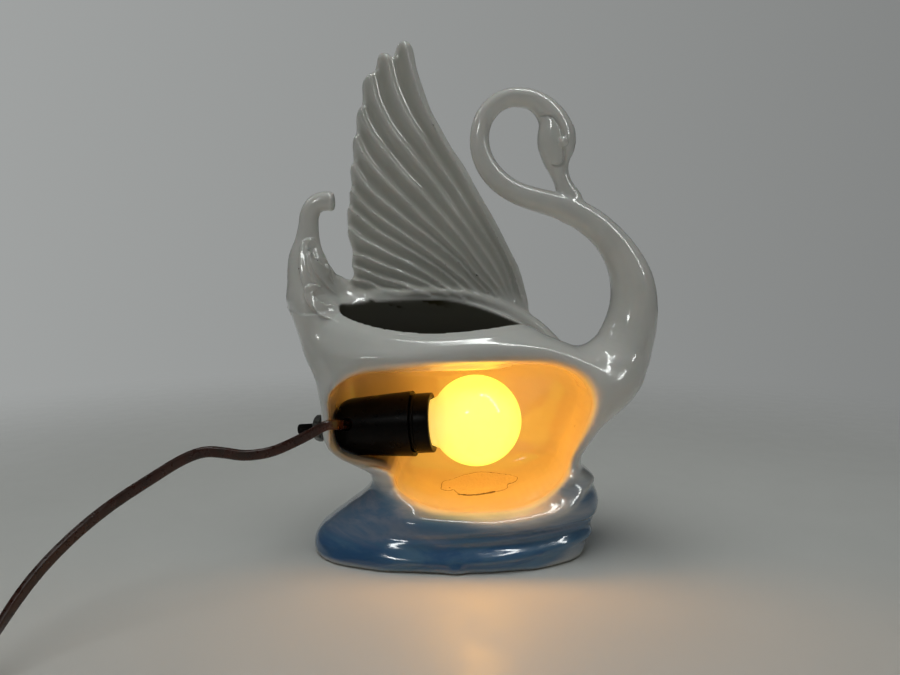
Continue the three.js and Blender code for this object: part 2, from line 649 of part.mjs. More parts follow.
// The rotor is a fibre cam with four flats, one for each quarter turn of the switch.
function switchRotor() {
  const rotor = washer(SHAFT.radius + GAP, ROTOR.radius, ROTOR.back, ROTOR.front - 0.4);
  const flats = [0, 1, 2, 3].map((quarter) => box(2, 2.4, 8, ROTOR.radius + 0.5, ROTOR.back + 1, 0)
    .rotateY((quarter * Math.PI) / 2));
  return cut(rotor, ...flats);
}

function switchBridge() {
  const back = SHAFT.front + GAP;
  return box(10.4, 0.6, 3.4, 0, back + 0.3, 0).rotateY(-SCREW_ANGLES.line);
}

function detentSpring() {
  const { back, front, radius, turns, wire } = SPRING;
  const steps = Math.round(turns * 10);
  const points = Array.from({ length: steps + 1 }, (_, i) => {
    const angle = (2 * Math.PI * turns * i) / steps;
    return onRing(radius, angle, THREE.MathUtils.lerp(back + wire, front - wire, i / steps));
  });
  return tube(points, wire, steps, 5);
}

// ---------------------------------------------------------------------------------------------
// Bulb, drawn in the same frame as the lampholder
// ---------------------------------------------------------------------------------------------

function arc(radius, centre, from, to, count) {
  return Array.from({ length: count + 1 }, (_, i) => {
    const angle = THREE.MathUtils.lerp(from, to, i / count);
    return [radius * Math.sin(angle), centre - radius * Math.cos(angle)];
  });
}

function bulbContactTip() {
  const { tip } = BULB_BASE;
  return turned([[0, tip], [3.2, tip + 0.15], [4.4, tip + 0.9], [4.4, tip + 1.4], [0, tip + 1.4]], 16);
}

function bulbBaseInsulator() {
  const { tip, back } = BULB_BASE;
  return turned([[4.8, tip + 1], [8.7, back - 0.6], [8.7, back + 0.7], [11.2, back + 2.6],
    [11.2, back + 3.4], [3, back + 3.4], [3, tip + 1.7], [4.8, tip + 1.7]]);
}

function bulbBaseShell() {
  const { back, front, radius, sheet } = BULB_BASE;
  return turned([[9.2, back - 0.3], [radius, back + 1.9], [radius, front], [radius - sheet, front],
    [radius - sheet, back + 2.1], [11.9, back + 1.55], [9.2, back - 0.3 + sheet]]);
}

function bulbGlobe() {
  const { centre, radius, neckRadius, neckBack, neckFront, glass } = BULB;
  const start = Math.asin(neckRadius / radius) + 0.12;
  const skin = (size, neck) => {
    const profile = [[neck, neckBack], [neck, neckFront], ...arc(size, centre, start, Math.PI, 11)];
    profile.at(-1)[0] = 0;
    return profile;
  };
  const outer = skin(radius, neckRadius);
  const inner = skin(radius - glass, neckRadius - glass);
  return turned([...inner.reverse(), ...outer]);
}

function bulbStem() {
  return turned([[0, 50], [10.6, 50], [6, 53], [3.4, 58], [2.6, 66], [1.6, 70], [0, 70]], 16);
}

function bulbLead(side) {
  const points = [holderPoint(0, 70.4, 2.2 * side), holderPoint(0, 76, 5.4 * side),
    holderPoint(0, 82, 8.6 * side)];
  return tube(points, 0.35, 6, 6);
}

function bulbFilament() {
  const points = Array.from({ length: 9 }, (_, i) => {
    const share = i / 4 - 1;
    return holderPoint(0, 82.8 + 2.6 * (1 - share ** 2), 8.6 * share);
  });
  return tube(points, 0.45, 16, 6);
}

// ---------------------------------------------------------------------------------------------
// Cord and plug
// ---------------------------------------------------------------------------------------------

// A single insulated conductor from the end of the cord, in through the hole, to its terminal.
function conductor(side, angle) {
  const terminal = onRing(SCREW.ring, angle, BLOCK.back - GAP - SCREW.headHeight - GAP - CONDUCTOR.radius);
  const points = [
    holderPoint(20.8, 8.8, 5.2 + 1.45 * side),
    holderPoint(16.4, 9.4, 4.4 + 1.45 * side),
    holderPoint(12.4, 10.4, 3.4 + 1.6 * side),
    holderPoint(9.7, 13.8, 3 + 2.6 * side),
    terminal.clone().add(holderPoint(1, -3.4, 0)),
    terminal,
  ];
  return tube(points, CONDUCTOR.radius, 16, 8);
}

// Outline of the flat cord: two round cores side by side, joined by a web.
function cordSection() {
  const half = [];
  for (let i = 0; i <= 4; i += 1) {
    const angle = THREE.MathUtils.degToRad(-115 + 57.5 * i);
    half.push([CORD.pitch / 2 + CORD.core * Math.cos(angle), CORD.core * Math.sin(angle)]);
  }
  return [...half, ...half.map(([x, y]) => [-x, -y])];
}

function cordRoute() {
  const start = holderPoint(21.8, 8.6, 5.2).applyMatrix4(holderFrame());
  const points = [start, ...CORD_ROUTE.map(([x, y, z]) => new THREE.Vector3(x, y, z))];
  const { left, right, first, pitch, count } = CORD_FOLDS;
  for (let fold = 0; fold < count; fold += 1) {
    const y = first - pitch * fold;
    const ends = fold % 2 === 0 ? [left, right] : [right, left];
    const shares = fold === 0 ? [0.06, 0.5, 0.94] : [0, 0.06, 0.5, 0.94];
    if (fold === count - 1) shares.pop();
    for (const share of shares) {
      const x = THREE.MathUtils.lerp(ends[0], ends[1], share);
      points.push(new THREE.Vector3(x, y + (share === 0 ? pitch / 2 : 0), CORD_REST));
    }
  }
  points.push(plugPoint(PLUG.back - 16, 0, CORD_REST - plugHeight()));
  points.push(plugPoint(PLUG.back - 6, 0, 0));
  points.push(plugPoint(PLUG.back + PLUG.rear - 1, 0, 0));
  return points;
}

function powerCord() {
  const points = cordRoute();
  const path = new THREE.CatmullRomCurve3(points, false, 'centripetal');
  const outline = cordSection();
  const perSpan = 3;
  const steps = (points.length - 1) * perSpan;
  const up = new THREE.Vector3(0, 0, 1);
  const sections = Array.from({ length: steps + 1 }, (_, i) => {
    const centre = path.getPoint(i / steps);
    const tangent = path.getTangent(i / steps);
    const flat = THREE.MathUtils.smoothstep(i / perSpan, CORD_TWIST.from, CORD_TWIST.to);
    const side = up.clone().cross(tangent).normalize().applyAxisAngle(tangent, (1 - flat) * Math.PI / 2);
    const normal = tangent.clone().cross(side);
    return outline.map(([x, y]) => centre.clone().addScaledVector(side, x).addScaledVector(normal, y));
  });
  return loft(sections);
}

function plugHeight() {
  return PLUG.thick / 2 + GAP;
}

// A place in the plug: along it, across it and above its middle.
function plugPoint(x, across, above) {
  const y = CORD_FOLDS.first - CORD_FOLDS.pitch * (CORD_FOLDS.count - 1);
  return new THREE.Vector3(x, y + across, plugHeight() + above);
}

function plugBox(from, to, width, thick, across = 0) {
  const middle = plugPoint((from + to) / 2, across, 0);
  return box(to - from, width, thick, middle.x, middle.y, middle.z);
}

function roundedOutline(width, height, radius) {
  const shape = new THREE.Shape();
  const x = width / 2 - radius;
  const y = height / 2 - radius;
  shape.absarc(x, y, radius, 0, Math.PI / 2);
  shape.absarc(-x, y, radius, Math.PI / 2, Math.PI);
  shape.absarc(-x, -y, radius, Math.PI, 1.5 * Math.PI);
  shape.absarc(x, -y, radius, 1.5 * Math.PI, 2 * Math.PI);
  return shape;
}

function plugBody() {
  const bevel = 1.2;
  const { back, front, width, thick, corner, wall, rear } = PLUG;
  const outline = roundedOutline(width - 2 * bevel, thick - 2 * bevel, corner - bevel);
  const options = { depth: front - back - 2 * bevel, bevelSize: bevel, bevelThickness: bevel };
  const body = new THREE.ExtrudeGeometry(outline, { ...options, bevelSegments: 2, curveSegments: 4 })
    .rotateZ(Math.PI / 2)
    .rotateY(Math.PI / 2)
    .translate(...plugPoint(back + bevel, 0, 0).toArray());
  const chamber = plugBox(back + rear, front + 1, width - 2 * wall - 1, thick - 2 * wall - 1);
  const entry = plugBox(back - 1, back + rear + 1, 2 * CORD.core + CORD.pitch + 1, 2 * CORD.core + 1);
  return cut(body, chamber, entry);
}

function plugFaceCard() {
  const { front, width, thick, wall } = PLUG;
  const card = plugBox(front - 1.6, front - 0.6, width - 2 * wall - 1.6, thick - 2 * wall - 1.6);
  const slots = [-1, 1].map((side) => plugBox(front - 3, front + 1, BLADE.thick + 2 * GAP,
    BLADE.width + 2 * GAP, (side * BLADE.spacing) / 2));
  return cut(card, ...slots);
}

function plugBlade(side) {
  const across = (side * BLADE.spacing) / 2;
  const blade = plugBox(PLUG.front - BLADE.inside, PLUG.front + BLADE.length, BLADE.thick, BLADE.width, across);
  const hole = disc(BLADE.hole, -2, 2, 12).translate(...plugPoint(PLUG.front + 12, across, 0).toArray());
  return cut(blade, hole);
}

function plugScrew(side) {
  const outer = BLADE.spacing / 2 - BLADE.thick / 2 - GAP;
  const middle = side * (outer - 0.75);
  return disc(2.1, middle - 0.75, middle + 0.75, 12)
    .translate(...plugPoint(PLUG.front - 4.6, 0, 0).toArray());
}

function plugLead(side) {
  const start = PLUG.back + PLUG.rear - 1 + GAP;
  const points = [plugPoint(start, 1.3 * side, 0), plugPoint(start + 4, 2 * side, 0),
    plugPoint(PLUG.front - 7.3, 3.6 * side, 0)];
  return tube(points, CONDUCTOR.radius, 5, 8);
}

// ---------------------------------------------------------------------------------------------
// Assembly
// ---------------------------------------------------------------------------------------------

const lamp = new THREE.Group();

function place(group, name, geometry, finish) {
  const mesh = new THREE.Mesh(geometry, finish);
  mesh.name = name;
  group.add(mesh);
}

place(lamp, 'ceramic_swan_body', ceramicSwan(), glazedWhite());

const holder = new THREE.Group();
holder.applyMatrix4(holderFrame());
lamp.add(holder);

place(holder, 'socket_shell', socketShell(), phenolic());
place(holder, 'socket_front_ring', socketFrontRing(), phenolic());
place(holder, 'screw_shell', screwShell(), brass());
place(holder, 'terminal_block', terminalBlock(), fibre());
place(holder, 'centre_contact', centreContact(), brass());
place(holder, 'contact_rivet', contactRivet(), brass());
place(holder, 'terminal_screw_line', terminalScrew(SCREW_ANGLES.line), brass());
place(holder, 'terminal_screw_neutral', terminalScrew(SCREW_ANGLES.neutral), platedSteel());
place(holder, 'switch_blade_in', switchBlade(1), brass());
place(holder, 'switch_blade_out', switchBlade(-1), brass());
place(holder, 'threaded_bushing', threadedBushing(), platedSteel());
place(holder, 'cushion_washer', washer(BUSHING.outer + GAP, 10, GAP, SHELL.back - GAP), fibre());
place(holder, 'flat_washer', washer(BUSHING.outer + GAP, 7.25, -END_WALL - 1.5, -END_WALL - GAP), platedSteel());
place(holder, 'lock_washer', lockWasher(-END_WALL - 2.8, -END_WALL - 1.8), platedSteel());
place(holder, 'hex_nut', hexNut(-END_WALL - 7.1, -END_WALL - 3.1), platedSteel());
place(holder, 'switch_shaft', switchShaft(), platedSteel());
place(holder, 'switch_knob', switchKnob(), phenolic());
place(holder, 'switch_rotor', switchRotor(), fibre());
place(holder, 'switch_bridge', switchBridge(), brass());
place(holder, 'detent_spring', detentSpring(), platedSteel());
place(holder, 'conductor_line', conductor(1, SCREW_ANGLES.line), cordRubber());
place(holder, 'conductor_neutral', conductor(-1, SCREW_ANGLES.neutral), cordRubber());
place(holder, 'bulb_contact_tip', bulbContactTip(), brass());
place(holder, 'bulb_base_insulator', bulbBaseInsulator(), material(0x1a1a1e, 0.2));
place(holder, 'bulb_base_shell', bulbBaseShell(), brass());
place(holder, 'bulb_globe', bulbGlobe(), material(0xfff3c4, 0.3));
place(holder, 'bulb_stem', bulbStem(), material(0xdfe6e2, 0.1));
place(holder, 'bulb_lead_a', bulbLead(1), platedSteel());
place(holder, 'bulb_lead_b', bulbLead(-1), platedSteel());
place(holder, 'bulb_filament', bulbFilament(), material(0xffd27a, 0.5, 1));

place(lamp, 'power_cord', powerCord(), cordRubber());
place(lamp, 'plug_body', plugBody(), phenolic());
place(lamp, 'plug_face_card', plugFaceCard(), fibre());
place(lamp, 'plug_blade_a', plugBlade(-1), brass());
place(lamp, 'plug_blade_b', plugBlade(1), brass());
place(lamp, 'plug_screw_a', plugScrew(-1), brass());
place(lamp, 'plug_screw_b', plugScrew(1), brass());
place(lamp, 'plug_lead_a', plugLead(-1), cordRubber());
place(lamp, 'plug_lead_b', plugLead(1), cordRubber());

export default lamp;
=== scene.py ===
"""Swan TV lamp: the finished surfaces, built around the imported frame.

The ceramic is one smooth distance field in millimetres (X tail to breast, +Y to the room, +Z up),
meshed, and turned to metres at the end. The turned pieces are lathed about the lampholder axis.
"""

import itertools
import json
import math

import bmesh
import bpy
import numpy as np
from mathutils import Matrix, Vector

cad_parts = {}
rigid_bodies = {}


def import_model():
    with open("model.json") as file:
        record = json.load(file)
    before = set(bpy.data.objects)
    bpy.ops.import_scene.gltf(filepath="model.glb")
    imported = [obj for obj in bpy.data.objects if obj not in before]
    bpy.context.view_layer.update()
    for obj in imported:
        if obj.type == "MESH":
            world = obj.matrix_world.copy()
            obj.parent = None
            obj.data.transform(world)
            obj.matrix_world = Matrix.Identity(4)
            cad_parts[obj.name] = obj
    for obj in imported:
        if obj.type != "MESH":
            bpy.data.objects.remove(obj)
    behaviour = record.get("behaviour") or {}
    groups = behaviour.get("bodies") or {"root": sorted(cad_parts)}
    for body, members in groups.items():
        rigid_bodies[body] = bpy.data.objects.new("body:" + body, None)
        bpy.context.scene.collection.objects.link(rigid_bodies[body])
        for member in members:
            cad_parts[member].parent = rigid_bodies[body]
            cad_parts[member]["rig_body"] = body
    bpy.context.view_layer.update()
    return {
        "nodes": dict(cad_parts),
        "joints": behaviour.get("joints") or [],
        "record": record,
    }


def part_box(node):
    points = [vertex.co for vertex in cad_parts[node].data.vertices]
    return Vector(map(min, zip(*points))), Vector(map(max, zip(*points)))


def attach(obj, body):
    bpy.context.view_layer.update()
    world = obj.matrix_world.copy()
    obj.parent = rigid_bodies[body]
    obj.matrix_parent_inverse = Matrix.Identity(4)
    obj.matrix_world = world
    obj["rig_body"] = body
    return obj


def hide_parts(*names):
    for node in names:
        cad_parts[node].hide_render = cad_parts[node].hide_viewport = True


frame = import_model()

MM = 0.001
GRID_STEP = 1.2  # ceramic mesh spacing, mm

# ---- Ceramic: dimensions, mm ----

# Height, left, right, near, far, rise towards the planter's far rim, squareness of the plan.
BODY_ROWS = (
    (0, -79, 78, -47, 47, 0, 2.5),
    (4, -79, 79, -47.5, 47, 0, 2.5),
    (9, -77.3, 79.6, -46, 46, 0, 2.5),
    (15, -70.5, 83.6, -43.5, 44.5, 0, 2.5),
    (22, -61, 84.6, -41.5, 43, 0, 2.5),
    (29, -52, 83.6, -39.5, 42, 0, 2.5),
    (36, -46.5, 82.6, -38.5, 41, 0, 2.5),
    (41, -46, 82, -39, 41, 0, 2.5),
    (45, -48.5, 80, -39.5, 41.5, 0, 2.5),
    (49, -56, 76.3, -40.5, 42.5, 0, 2.5),
    (53, -64.5, 76.4, -41.2, 43.2, 0, 2.5),
    (57, -69.6, 78, -41.8, 43.8, 0, 2.6),
    (62, -72.4, 81, -42.5, 44.5, 0, 2.7),
    (70, -73.8, 86.5, -43, 45, 0, 2.8),
    (80, -74.2, 96, -43, 45, 0, 2.8),
    (90, -76, 104, -41.5, 44, 0, 2.7),
    (98, -77.5, 107, -39.5, 42.5, 1.5, 2.6),
    (105, -79.5, 98, -37, 40.5, 5, 2.5),
    (110, -80.5, 83, -34.5, 38.5, 9, 2.4),
    (115, -79, 67, -30, 35.5, 14, 2.3),
    (118.5, -75.5, 56, -26.5, 33, 17.5, 2.3),
    (121.5, -70, 48.5, -23, 30, 20, 2.3),
    (123, -66, 44.5, -20.5, 28.5, 21, 2.3),
)
RIM_CENTRE = -11.0  # middle and half length of the planter's rim
RIM_HALF = 55.0

RECESS_MOUTH = (
    (-58.8, 79), (-56.6, 96), (-48.5, 102.5), (-26.5, 106), (5, 111), (37, 113.5), (58, 112.5),
    (71.5, 105), (77.5, 90), (74, 74), (66, 58), (63, 51), (58.5, 42.5), (51, 35.5), (41, 31),
    (21.5, 28), (-11, 30), (-28, 40), (-30, 49), (-39, 55), (-51, 60), (-57.6, 67),
)
RECESS_CHAMBER = (
    (-67, 76), (-66, 93), (-54, 101), (-28, 104), (5, 106), (37, 107), (58, 106), (72, 99),
    (78, 87), (75, 73), (68, 57), (65, 48), (59, 39.5), (43, 30), (21, 26.6), (-11, 28.5),
    (-29, 38), (-32, 46.5), (-42, 50), (-55, 51), (-64, 56),
)
RECESS_BACK = 36.0
WALL = 5.0  # left between the recess and the surfaces round it

# Height, left, right, near, far of the planter trough.
TROUGH_ROWS = (
    (108.5, -50, 30, -12, 13),
    (112, -55, 34, -14.5, 15.5),
    (118, -59, 38, -16.2, 17.5),
    (126, -62, 41, -17.5, 18),
    (134, -63.5, 42.5, -19, 18.5),
    (144, -64, 43, -22, 19.5),
    (154, -65, 43, -28, 26),
)

# Flowing ridges (and grooves, with a negative size) round the base: their heights at each angle
# from the right side towards the near side, then half width and size.
WAVE_ANGLES = (-180, -70, 0, 28, 38, 50, 65, 90, 130, 180)
WAVE_LINES = (
    ((24, 26, 29.5, 28.5, 27.5, 26, 25, 24.5, 26, 28), 6.5, 2.6),
    ((36, 38, 40, 38.5, 33, 28.5, 25.4, 24.8, 26, 28), 2.4, 1.4),
    ((41, 43, 46, 44, 38, 32.5, 29, 29, 30, 32), 2.4, -1.6),
    ((17, 18, 19.6, 20.3, 21, 20.5, 19, 17, 16, 16), 1.4, -1.5),
    ((13, 14, 15, 16.5, 16.3, 14.5, 13, 11.5, 11, 11), 3.0, -1.9),
    ((6, 7, 7.9, 11, 11.5, 10.5, 8.5, 6.7, 6.5, 6.5), 3.6, 2.0),
)
DRIP_X, DRIP_SIZE, DRIP_WIDTH = 3.5, 2.6, 6  # run of glaze at the foot of the near side

# Patch of dried glue on the recess floor, in plan, and the dark crack along its near edge.
PATCH_OUTLINE = (
    (-4.2, 21.5), (1, 24), (6.9, 27), (17.9, 29), (26, 28.4), (32, 27.2), (39.9, 24), (42.2, 21),
    (39.9, 17.5), (36, 16.5), (34.4, 10), (26.5, 6), (16, 3), (5.4, 3.5), (3, 10), (1.8, 11.5),
    (-1.7, 8.5), (-4.9, 10.5), (-5.3, 16),
)
PATCH_CRACK = ((5.0, 3.4), (10, 2.2), (16, 2.6), (21, 4.2), (26.8, 6.4))
PATCH_THICKNESS = 0.5

# Centre x, z, width in the plane of the neck, width across it.
NECK_ROWS = (
    (74, 82, 16, 36), (85, 93, 31, 46), (94.5, 104, 34, 44), (101, 116, 32, 37),
    (105, 128.5, 29.5, 31), (106.5, 142, 26.5, 27), (104.7, 155, 24, 24), (99.5, 167, 20.5, 20.5),
    (91.5, 178, 17.8, 17.8), (82, 186.5, 16.5, 16.5), (72, 192.5, 15.6, 15.4),
    (62, 196.6, 14.4, 14.4), (51, 199.6, 13.4, 13.4), (38, 204, 12.6, 12.6),
    (28, 210.5, 12.4, 12.4), (21, 219, 12, 12), (17.4, 228, 11.3, 11.3), (17, 237.5, 10.8, 10.8),
    (20, 247, 10.7, 10.7), (27, 254.4, 10.6, 10.8), (36, 257.6, 10.5, 11), (45, 256.8, 11, 11.6),
)
HEAD_ROWS = NECK_ROWS[-2:] + (
    (52.5, 252.6, 13, 12.8), (58, 246, 16.4, 14.6), (60.6, 237.5, 21.4, 16),
    (60.8, 229.5, 21, 15.6), (61, 222, 15.4, 12.6), (62.4, 216, 11, 9.6), (64.2, 211, 9.8, 8.8),
    (66.2, 206, 11, 9), (68.2, 201, 14.6, 9.6), (69.2, 195, 17, 10.4),
)
TAIL_ROWS = (
    (-60, 104, 30, 44), (-68, 118, 34, 42), (-74, 130, 31, 36), (-78.5, 141, 29, 30),
    (-80.3, 151, 27, 24), (-81.8, 160, 24.4, 19), (-82.6, 168, 20.6, 15), (-82.2, 176, 14.6, 12.6),
    (-81.5, 184, 11.6, 11.4), (-80.7, 191.5, 10.8, 11), (-77.6, 197, 10.6, 11),
    (-72, 199.2, 10.8, 11), (-66, 198.8, 11, 11),
)
TAIL_TIP = (-66.5, 185)  # the curl is cut flat at this x, above this z
# Ridge at the far side of the planter, where the tail runs into the foot of the wing. Its middle
# is SADDLE_DEPTH behind the swan's plane.
SADDLE_ROWS = (
    (-84, 143, 20, 20), (-75, 147.5, 21, 20), (-69, 147.5, 20.5, 20), (-64, 145, 18, 18),
    (-58, 143.5, 16, 18), (-50, 141.5, 14.5, 16), (-42, 138, 12, 14),
)
SADDLE_DEPTH = 20.0
FOOT_LEAN = 14.0  # how far the foot of the tail leans back towards the saddle

# Rounded bead along the far rim of the planter, ending in the shoulder behind the wing's foot.
RIM_BEAD = (
    (-46, 145.5, 6, 6), (-36, 146.6, 5.2, 6), (-28.6, 145.8, 4.8, 6), (-19.5, 146.8, 4.8, 6),
    (-11.6, 147.2, 4.8, 6), (0, 146.7, 4.8, 6), (7.3, 146, 4.8, 6), (15.6, 144.4, 4.8, 6),
    (22, 142, 5.2, 7), (32.7, 137.6, 7.5, 9), (42.5, 132, 9.5, 12), (52.4, 125.5, 10, 14),
    (62, 116.5, 10, 15), (74, 105, 9, 14),
)
BEAD_DEPTH = 20.8
RIM_SHARE = 0.8  # share of the way across, at which the rim has its full rise
EYE = (63.3, 7.7, 230.9, 3.0)  # centre and radius

# Relief on both sides of the head and tail: crease lines, edges of lapped feathers and ridges.
CHEEK_CREASES = (
    ((50, 246.5), (53.4, 246.2), (56.6, 245.5), (59.3, 243.1), (61.5, 239.5), (62.9, 235.3),
     (63.3, 233.2)),
    ((63.4, 229.5), (63.9, 227.4), (64.3, 223.2), (63.6, 220), (60.7, 218.6), (57.5, 219.5)),
)
TAIL_LAPS = (
    ((-75.1, 174.8), (-78.8, 177.5), (-82.1, 176.8), (-83.9, 175.4), (-84.9, 172.2),
     (-85.5, 164.2), (-84.7, 158.3), (-83, 151.7), (-80, 146)),
    ((-71.5, 146.1), (-73.1, 150.3), (-76.7, 151.6), (-80.5, 150.3), (-81.6, 146.6),
     (-80.6, 142.3), (-76.9, 137.6), (-72.7, 133.8), (-65.9, 130.7)),
)
TAIL_RIDGES = (
    ((-79.6, 173), (-79.3, 169.9), (-77, 161.5), (-73.4, 154.6), (-69.2, 148.7), (-63.9, 143.9)),
    ((-80.2, 169), (-79.9, 165.2), (-78.7, 158.8), (-76.1, 153.5), (-73, 150)),
    ((-71, 164), (-69.8, 160), (-69.4, 155.7), (-66.7, 149.8), (-63.6, 145.5)),
)
CREASE_DEPTH, LAP_HEIGHT, RIDGE_HEIGHT = 1.8, 2.2, 1.5
CREASE_WIDTH, RIDGE_WIDTH = 0.75, 1.0

# Wing: the leading edge, then the scalloped tips down the trailing edge, then the foot.
WING_PLANE = 24.0
WING_LEAN = 5  # how far the tip leans back over the planter
WING_FOOT, WING_TOP = 140, 295
WING_OUTLINE = (
    (48.5, 136.1), (45.6, 151.3), (42.2, 162.3), (36.6, 173.2), (30, 186.2), (23.3, 198.1),
    (15.7, 210.9), (9.1, 222.6), (0.4, 235.3), (-5, 244.8), (-11.4, 256.2), (-15.6, 267.6),
    (-19.8, 279.9), (-22.4, 292), (-24.5, 294.7), (-27.4, 295.5), (-30.3, 294.5), (-32.5, 290),
    (-34, 286.4), (-36.8, 288.2), (-40, 288.6), (-42.5, 287.2), (-43.7, 282.9), (-45.2, 278.3),
    (-47.4, 276.6), (-50.2, 274.4), (-52.2, 271.5), (-52.5, 263.5), (-52.8, 258.5), (-55, 255),
    (-56.2, 251), (-56.5, 242.1), (-58.1, 238.3), (-58.8, 234.3), (-58.5, 225.6), (-59.9, 222),
    (-60.3, 218.4), (-59.8, 210.9), (-61, 206.7), (-61.3, 199.7), (-62.4, 195.9), (-62.7, 189.5),
    (-62.1, 185.3), (-62.4, 181.9), (-61.1, 177), (-59.3, 170.5), (-60.4, 165.6), (-59.2, 157.9),
    (-61, 153.7), (-64, 146), (-60, 124), (-30, 116), (10, 116), (44, 122),
)
# Crest lines of the feathers, each from the tip to the foot.
WING_CRESTS = (
    ((-25.7, 291), (-23.7, 282.9), (-21.6, 274.8), (-18.7, 265.6), (-14.5, 255.4),
     (-8.1, 243.5), (-1.2, 232), (6.4, 219.9), (13.6, 207.3), (20.3, 194.5), (26.7, 182.7),
     (32.9, 170.8), (38.4, 158.9), (42.6, 145.8)),
    ((-37.4, 284.4), (-35.6, 275.8), (-33.6, 268.7), (-29.9, 259.5), (-23.1, 247.1),
     (-15.6, 236.7), (-8.2, 225.2), (0.4, 213.6), (9.1, 200.9), (15.6, 191.3), (22.2, 181.6),
     (28.7, 171.9), (34.3, 161.1), (38.2, 149.1), (40.4, 141.5)),
    ((-47.1, 274.6), (-46.3, 270.7), (-44.8, 262.6), (-40.1, 252.3), (-33.8, 241.9),
     (-23.2, 229.4), (-12.5, 216.8), (-1.7, 201.9), (9.1, 188), (17.8, 176.2), (25.5, 165.4),
     (32.1, 153.5), (37.1, 143.6)),
    ((-53.1, 255.9), (-50.9, 248.2), (-44.6, 237.8), (-37.2, 228.4), (-26.5, 215.7),
     (-15.8, 205.1), (-6.1, 194.5), (2.6, 184.8), (11.3, 174.1), (20.1, 162.2), (26.7, 153.5),
     (34.4, 143.6)),
    ((-56.1, 239.3), (-52.2, 229.4), (-44.8, 219.9), (-34.1, 209.4), (-23.4, 198.7),
     (-12.6, 188), (-2.8, 178.4), (7, 168.7), (15.7, 157.8), (22.3, 151.3), (31.1, 142.6)),
    ((-58.3, 222.6), (-52.4, 212.6), (-45, 205.1), (-34.2, 196.6), (-23.4, 188), (-12.6, 180.5),
     (-1.7, 171.9), (8.1, 163.2), (15.7, 154.5), (26.7, 143.6)),
    ((-59.4, 207.8), (-53.7, 200.9), (-45.1, 193.4), (-34.3, 185.9), (-23.5, 178.4),
     (-12.6, 170.8), (-1.7, 162.2), (7, 155.6), (15.7, 148), (22.3, 142.6)),
    ((-61.1, 197.7), (-53.8, 192.3), (-45.2, 184.8), (-34.4, 178.4), (-23.5, 171.9),
     (-12.6, 165.4), (-1.7, 157.8), (7, 150.2), (15.8, 143.6)),
    ((-60.6, 184.8), (-53.9, 178.9), (-45.3, 174.6), (-34.4, 168.7), (-23.6, 163.2),
     (-12.7, 156.7), (-2.8, 150.2), (8.1, 143.6)),
    ((-59, 169.5), (-50.8, 167.6), (-43.2, 164.3), (-34.5, 161.1), (-23.6, 156.7),
     (-13.8, 152.4), (-1.8, 145.8)),
    ((-58, 162.2), (-49.8, 158.4), (-42.2, 155.1), (-34.5, 152.9), (-25.8, 150.7),
     (-12.7, 145.8)),
    ((-60.7, 155.1), (-48.7, 152.9), (-42.2, 149.1), (-31.3, 145.8)),
)
# Steps from the first and last crests to the ones that would lie outside the wing.
LEADING_STEP = (9, 0)
FOOT_STEP = (0, -8)
WING_VALLEY = 2.1  # half thickness in a valley
WING_CREST = 4.2  # most that a crest stands over it

HOLDER_WALL = 7.0  # end wall at the lampholder
HOLDER_HOLE = 5.6
SEAT_RADIUS = 9.5  # flat for the nut and washers
POCKET_ROWS = ((0, 14.4), (6, 17.6), (47, 20))  # along, radius of the clearance for the lampholder
DISH_WALL, DISH_DEPTH = 7, 1.4  # hollow of the underside
DRAIN = (44, 5, 12)  # x, radius, depth

# How far the limbs melt into the body.
NECK_BLEND, TAIL_BLEND, SADDLE_BLEND, BEAD_BLEND, WING_BLEND = 12, 9, 8, 2.5, 3.5
EDGE_BLEND = 0.8  # rounding of machined and foot edges

# ---- Distance field tools ----


def smooth_min(a, b, k):
    h = np.maximum(k - np.abs(a - b), 0) / k
    return np.minimum(a, b) - h * h * k / 4


def smooth_max(a, b, k):
    return -smooth_min(-a, -b, k)


def ease(value, low, high):
    """0 below low, 1 above high, smooth between."""
    t = np.clip((value - low) / (high - low), 0, 1)
    return t * t * (3 - 2 * t)


def smooth_rows(rows, count=500):
    """A table sampled along a smooth curve through its rows. The first column is the place."""
    table = np.array(rows, float)
    place = table[:, 0]
    slope = np.gradient(table, place, axis=0)
    dense = np.linspace(place[0], place[-1], count)
    i = np.clip(np.searchsorted(place, dense, "right") - 1, 0, len(place) - 2)
    span = (place[i + 1] - place[i])[:, None]
    t = (dense[:, None] - place[i][:, None]) / span
    return (
        (1 + 2 * t) * (1 - t) ** 2 * table[i]
        + t * (1 - t) ** 2 * span * slope[i]
        + t * t * (3 - 2 * t) * table[i + 1]
        - t * t * (1 - t) * span * slope[i + 1]
    )


def smooth_path(points, per_span=6, closed=False):
    """Points along a smooth curve through the given ones; extra columns are carried along."""
    table = np.array(points, float)
    if closed:
        table = np.vstack([table, table[:1]])
    step = np.linalg.norm(np.diff(table[:, :2], axis=0), axis=1) ** 0.5
    place = np.concatenate([[0], np.cumsum(step)])
    count = per_span * (len(table) - 1) + 1
    if not closed:
        return smooth_rows(np.column_stack([place, table]), count)[:, 1:]
    period = place[-1]
    around = np.vstack([table[-4:-1], table, table[1:4]])
    places = np.concatenate([place[-4:-1] - period, place, place[1:4] + period])
    dense = smooth_rows(np.column_stack([places, around]), 4 * count)
    keep = (dense[:, 0] >= 0) & (dense[:, 0] < period)
    return dense[keep, 1:][::3]


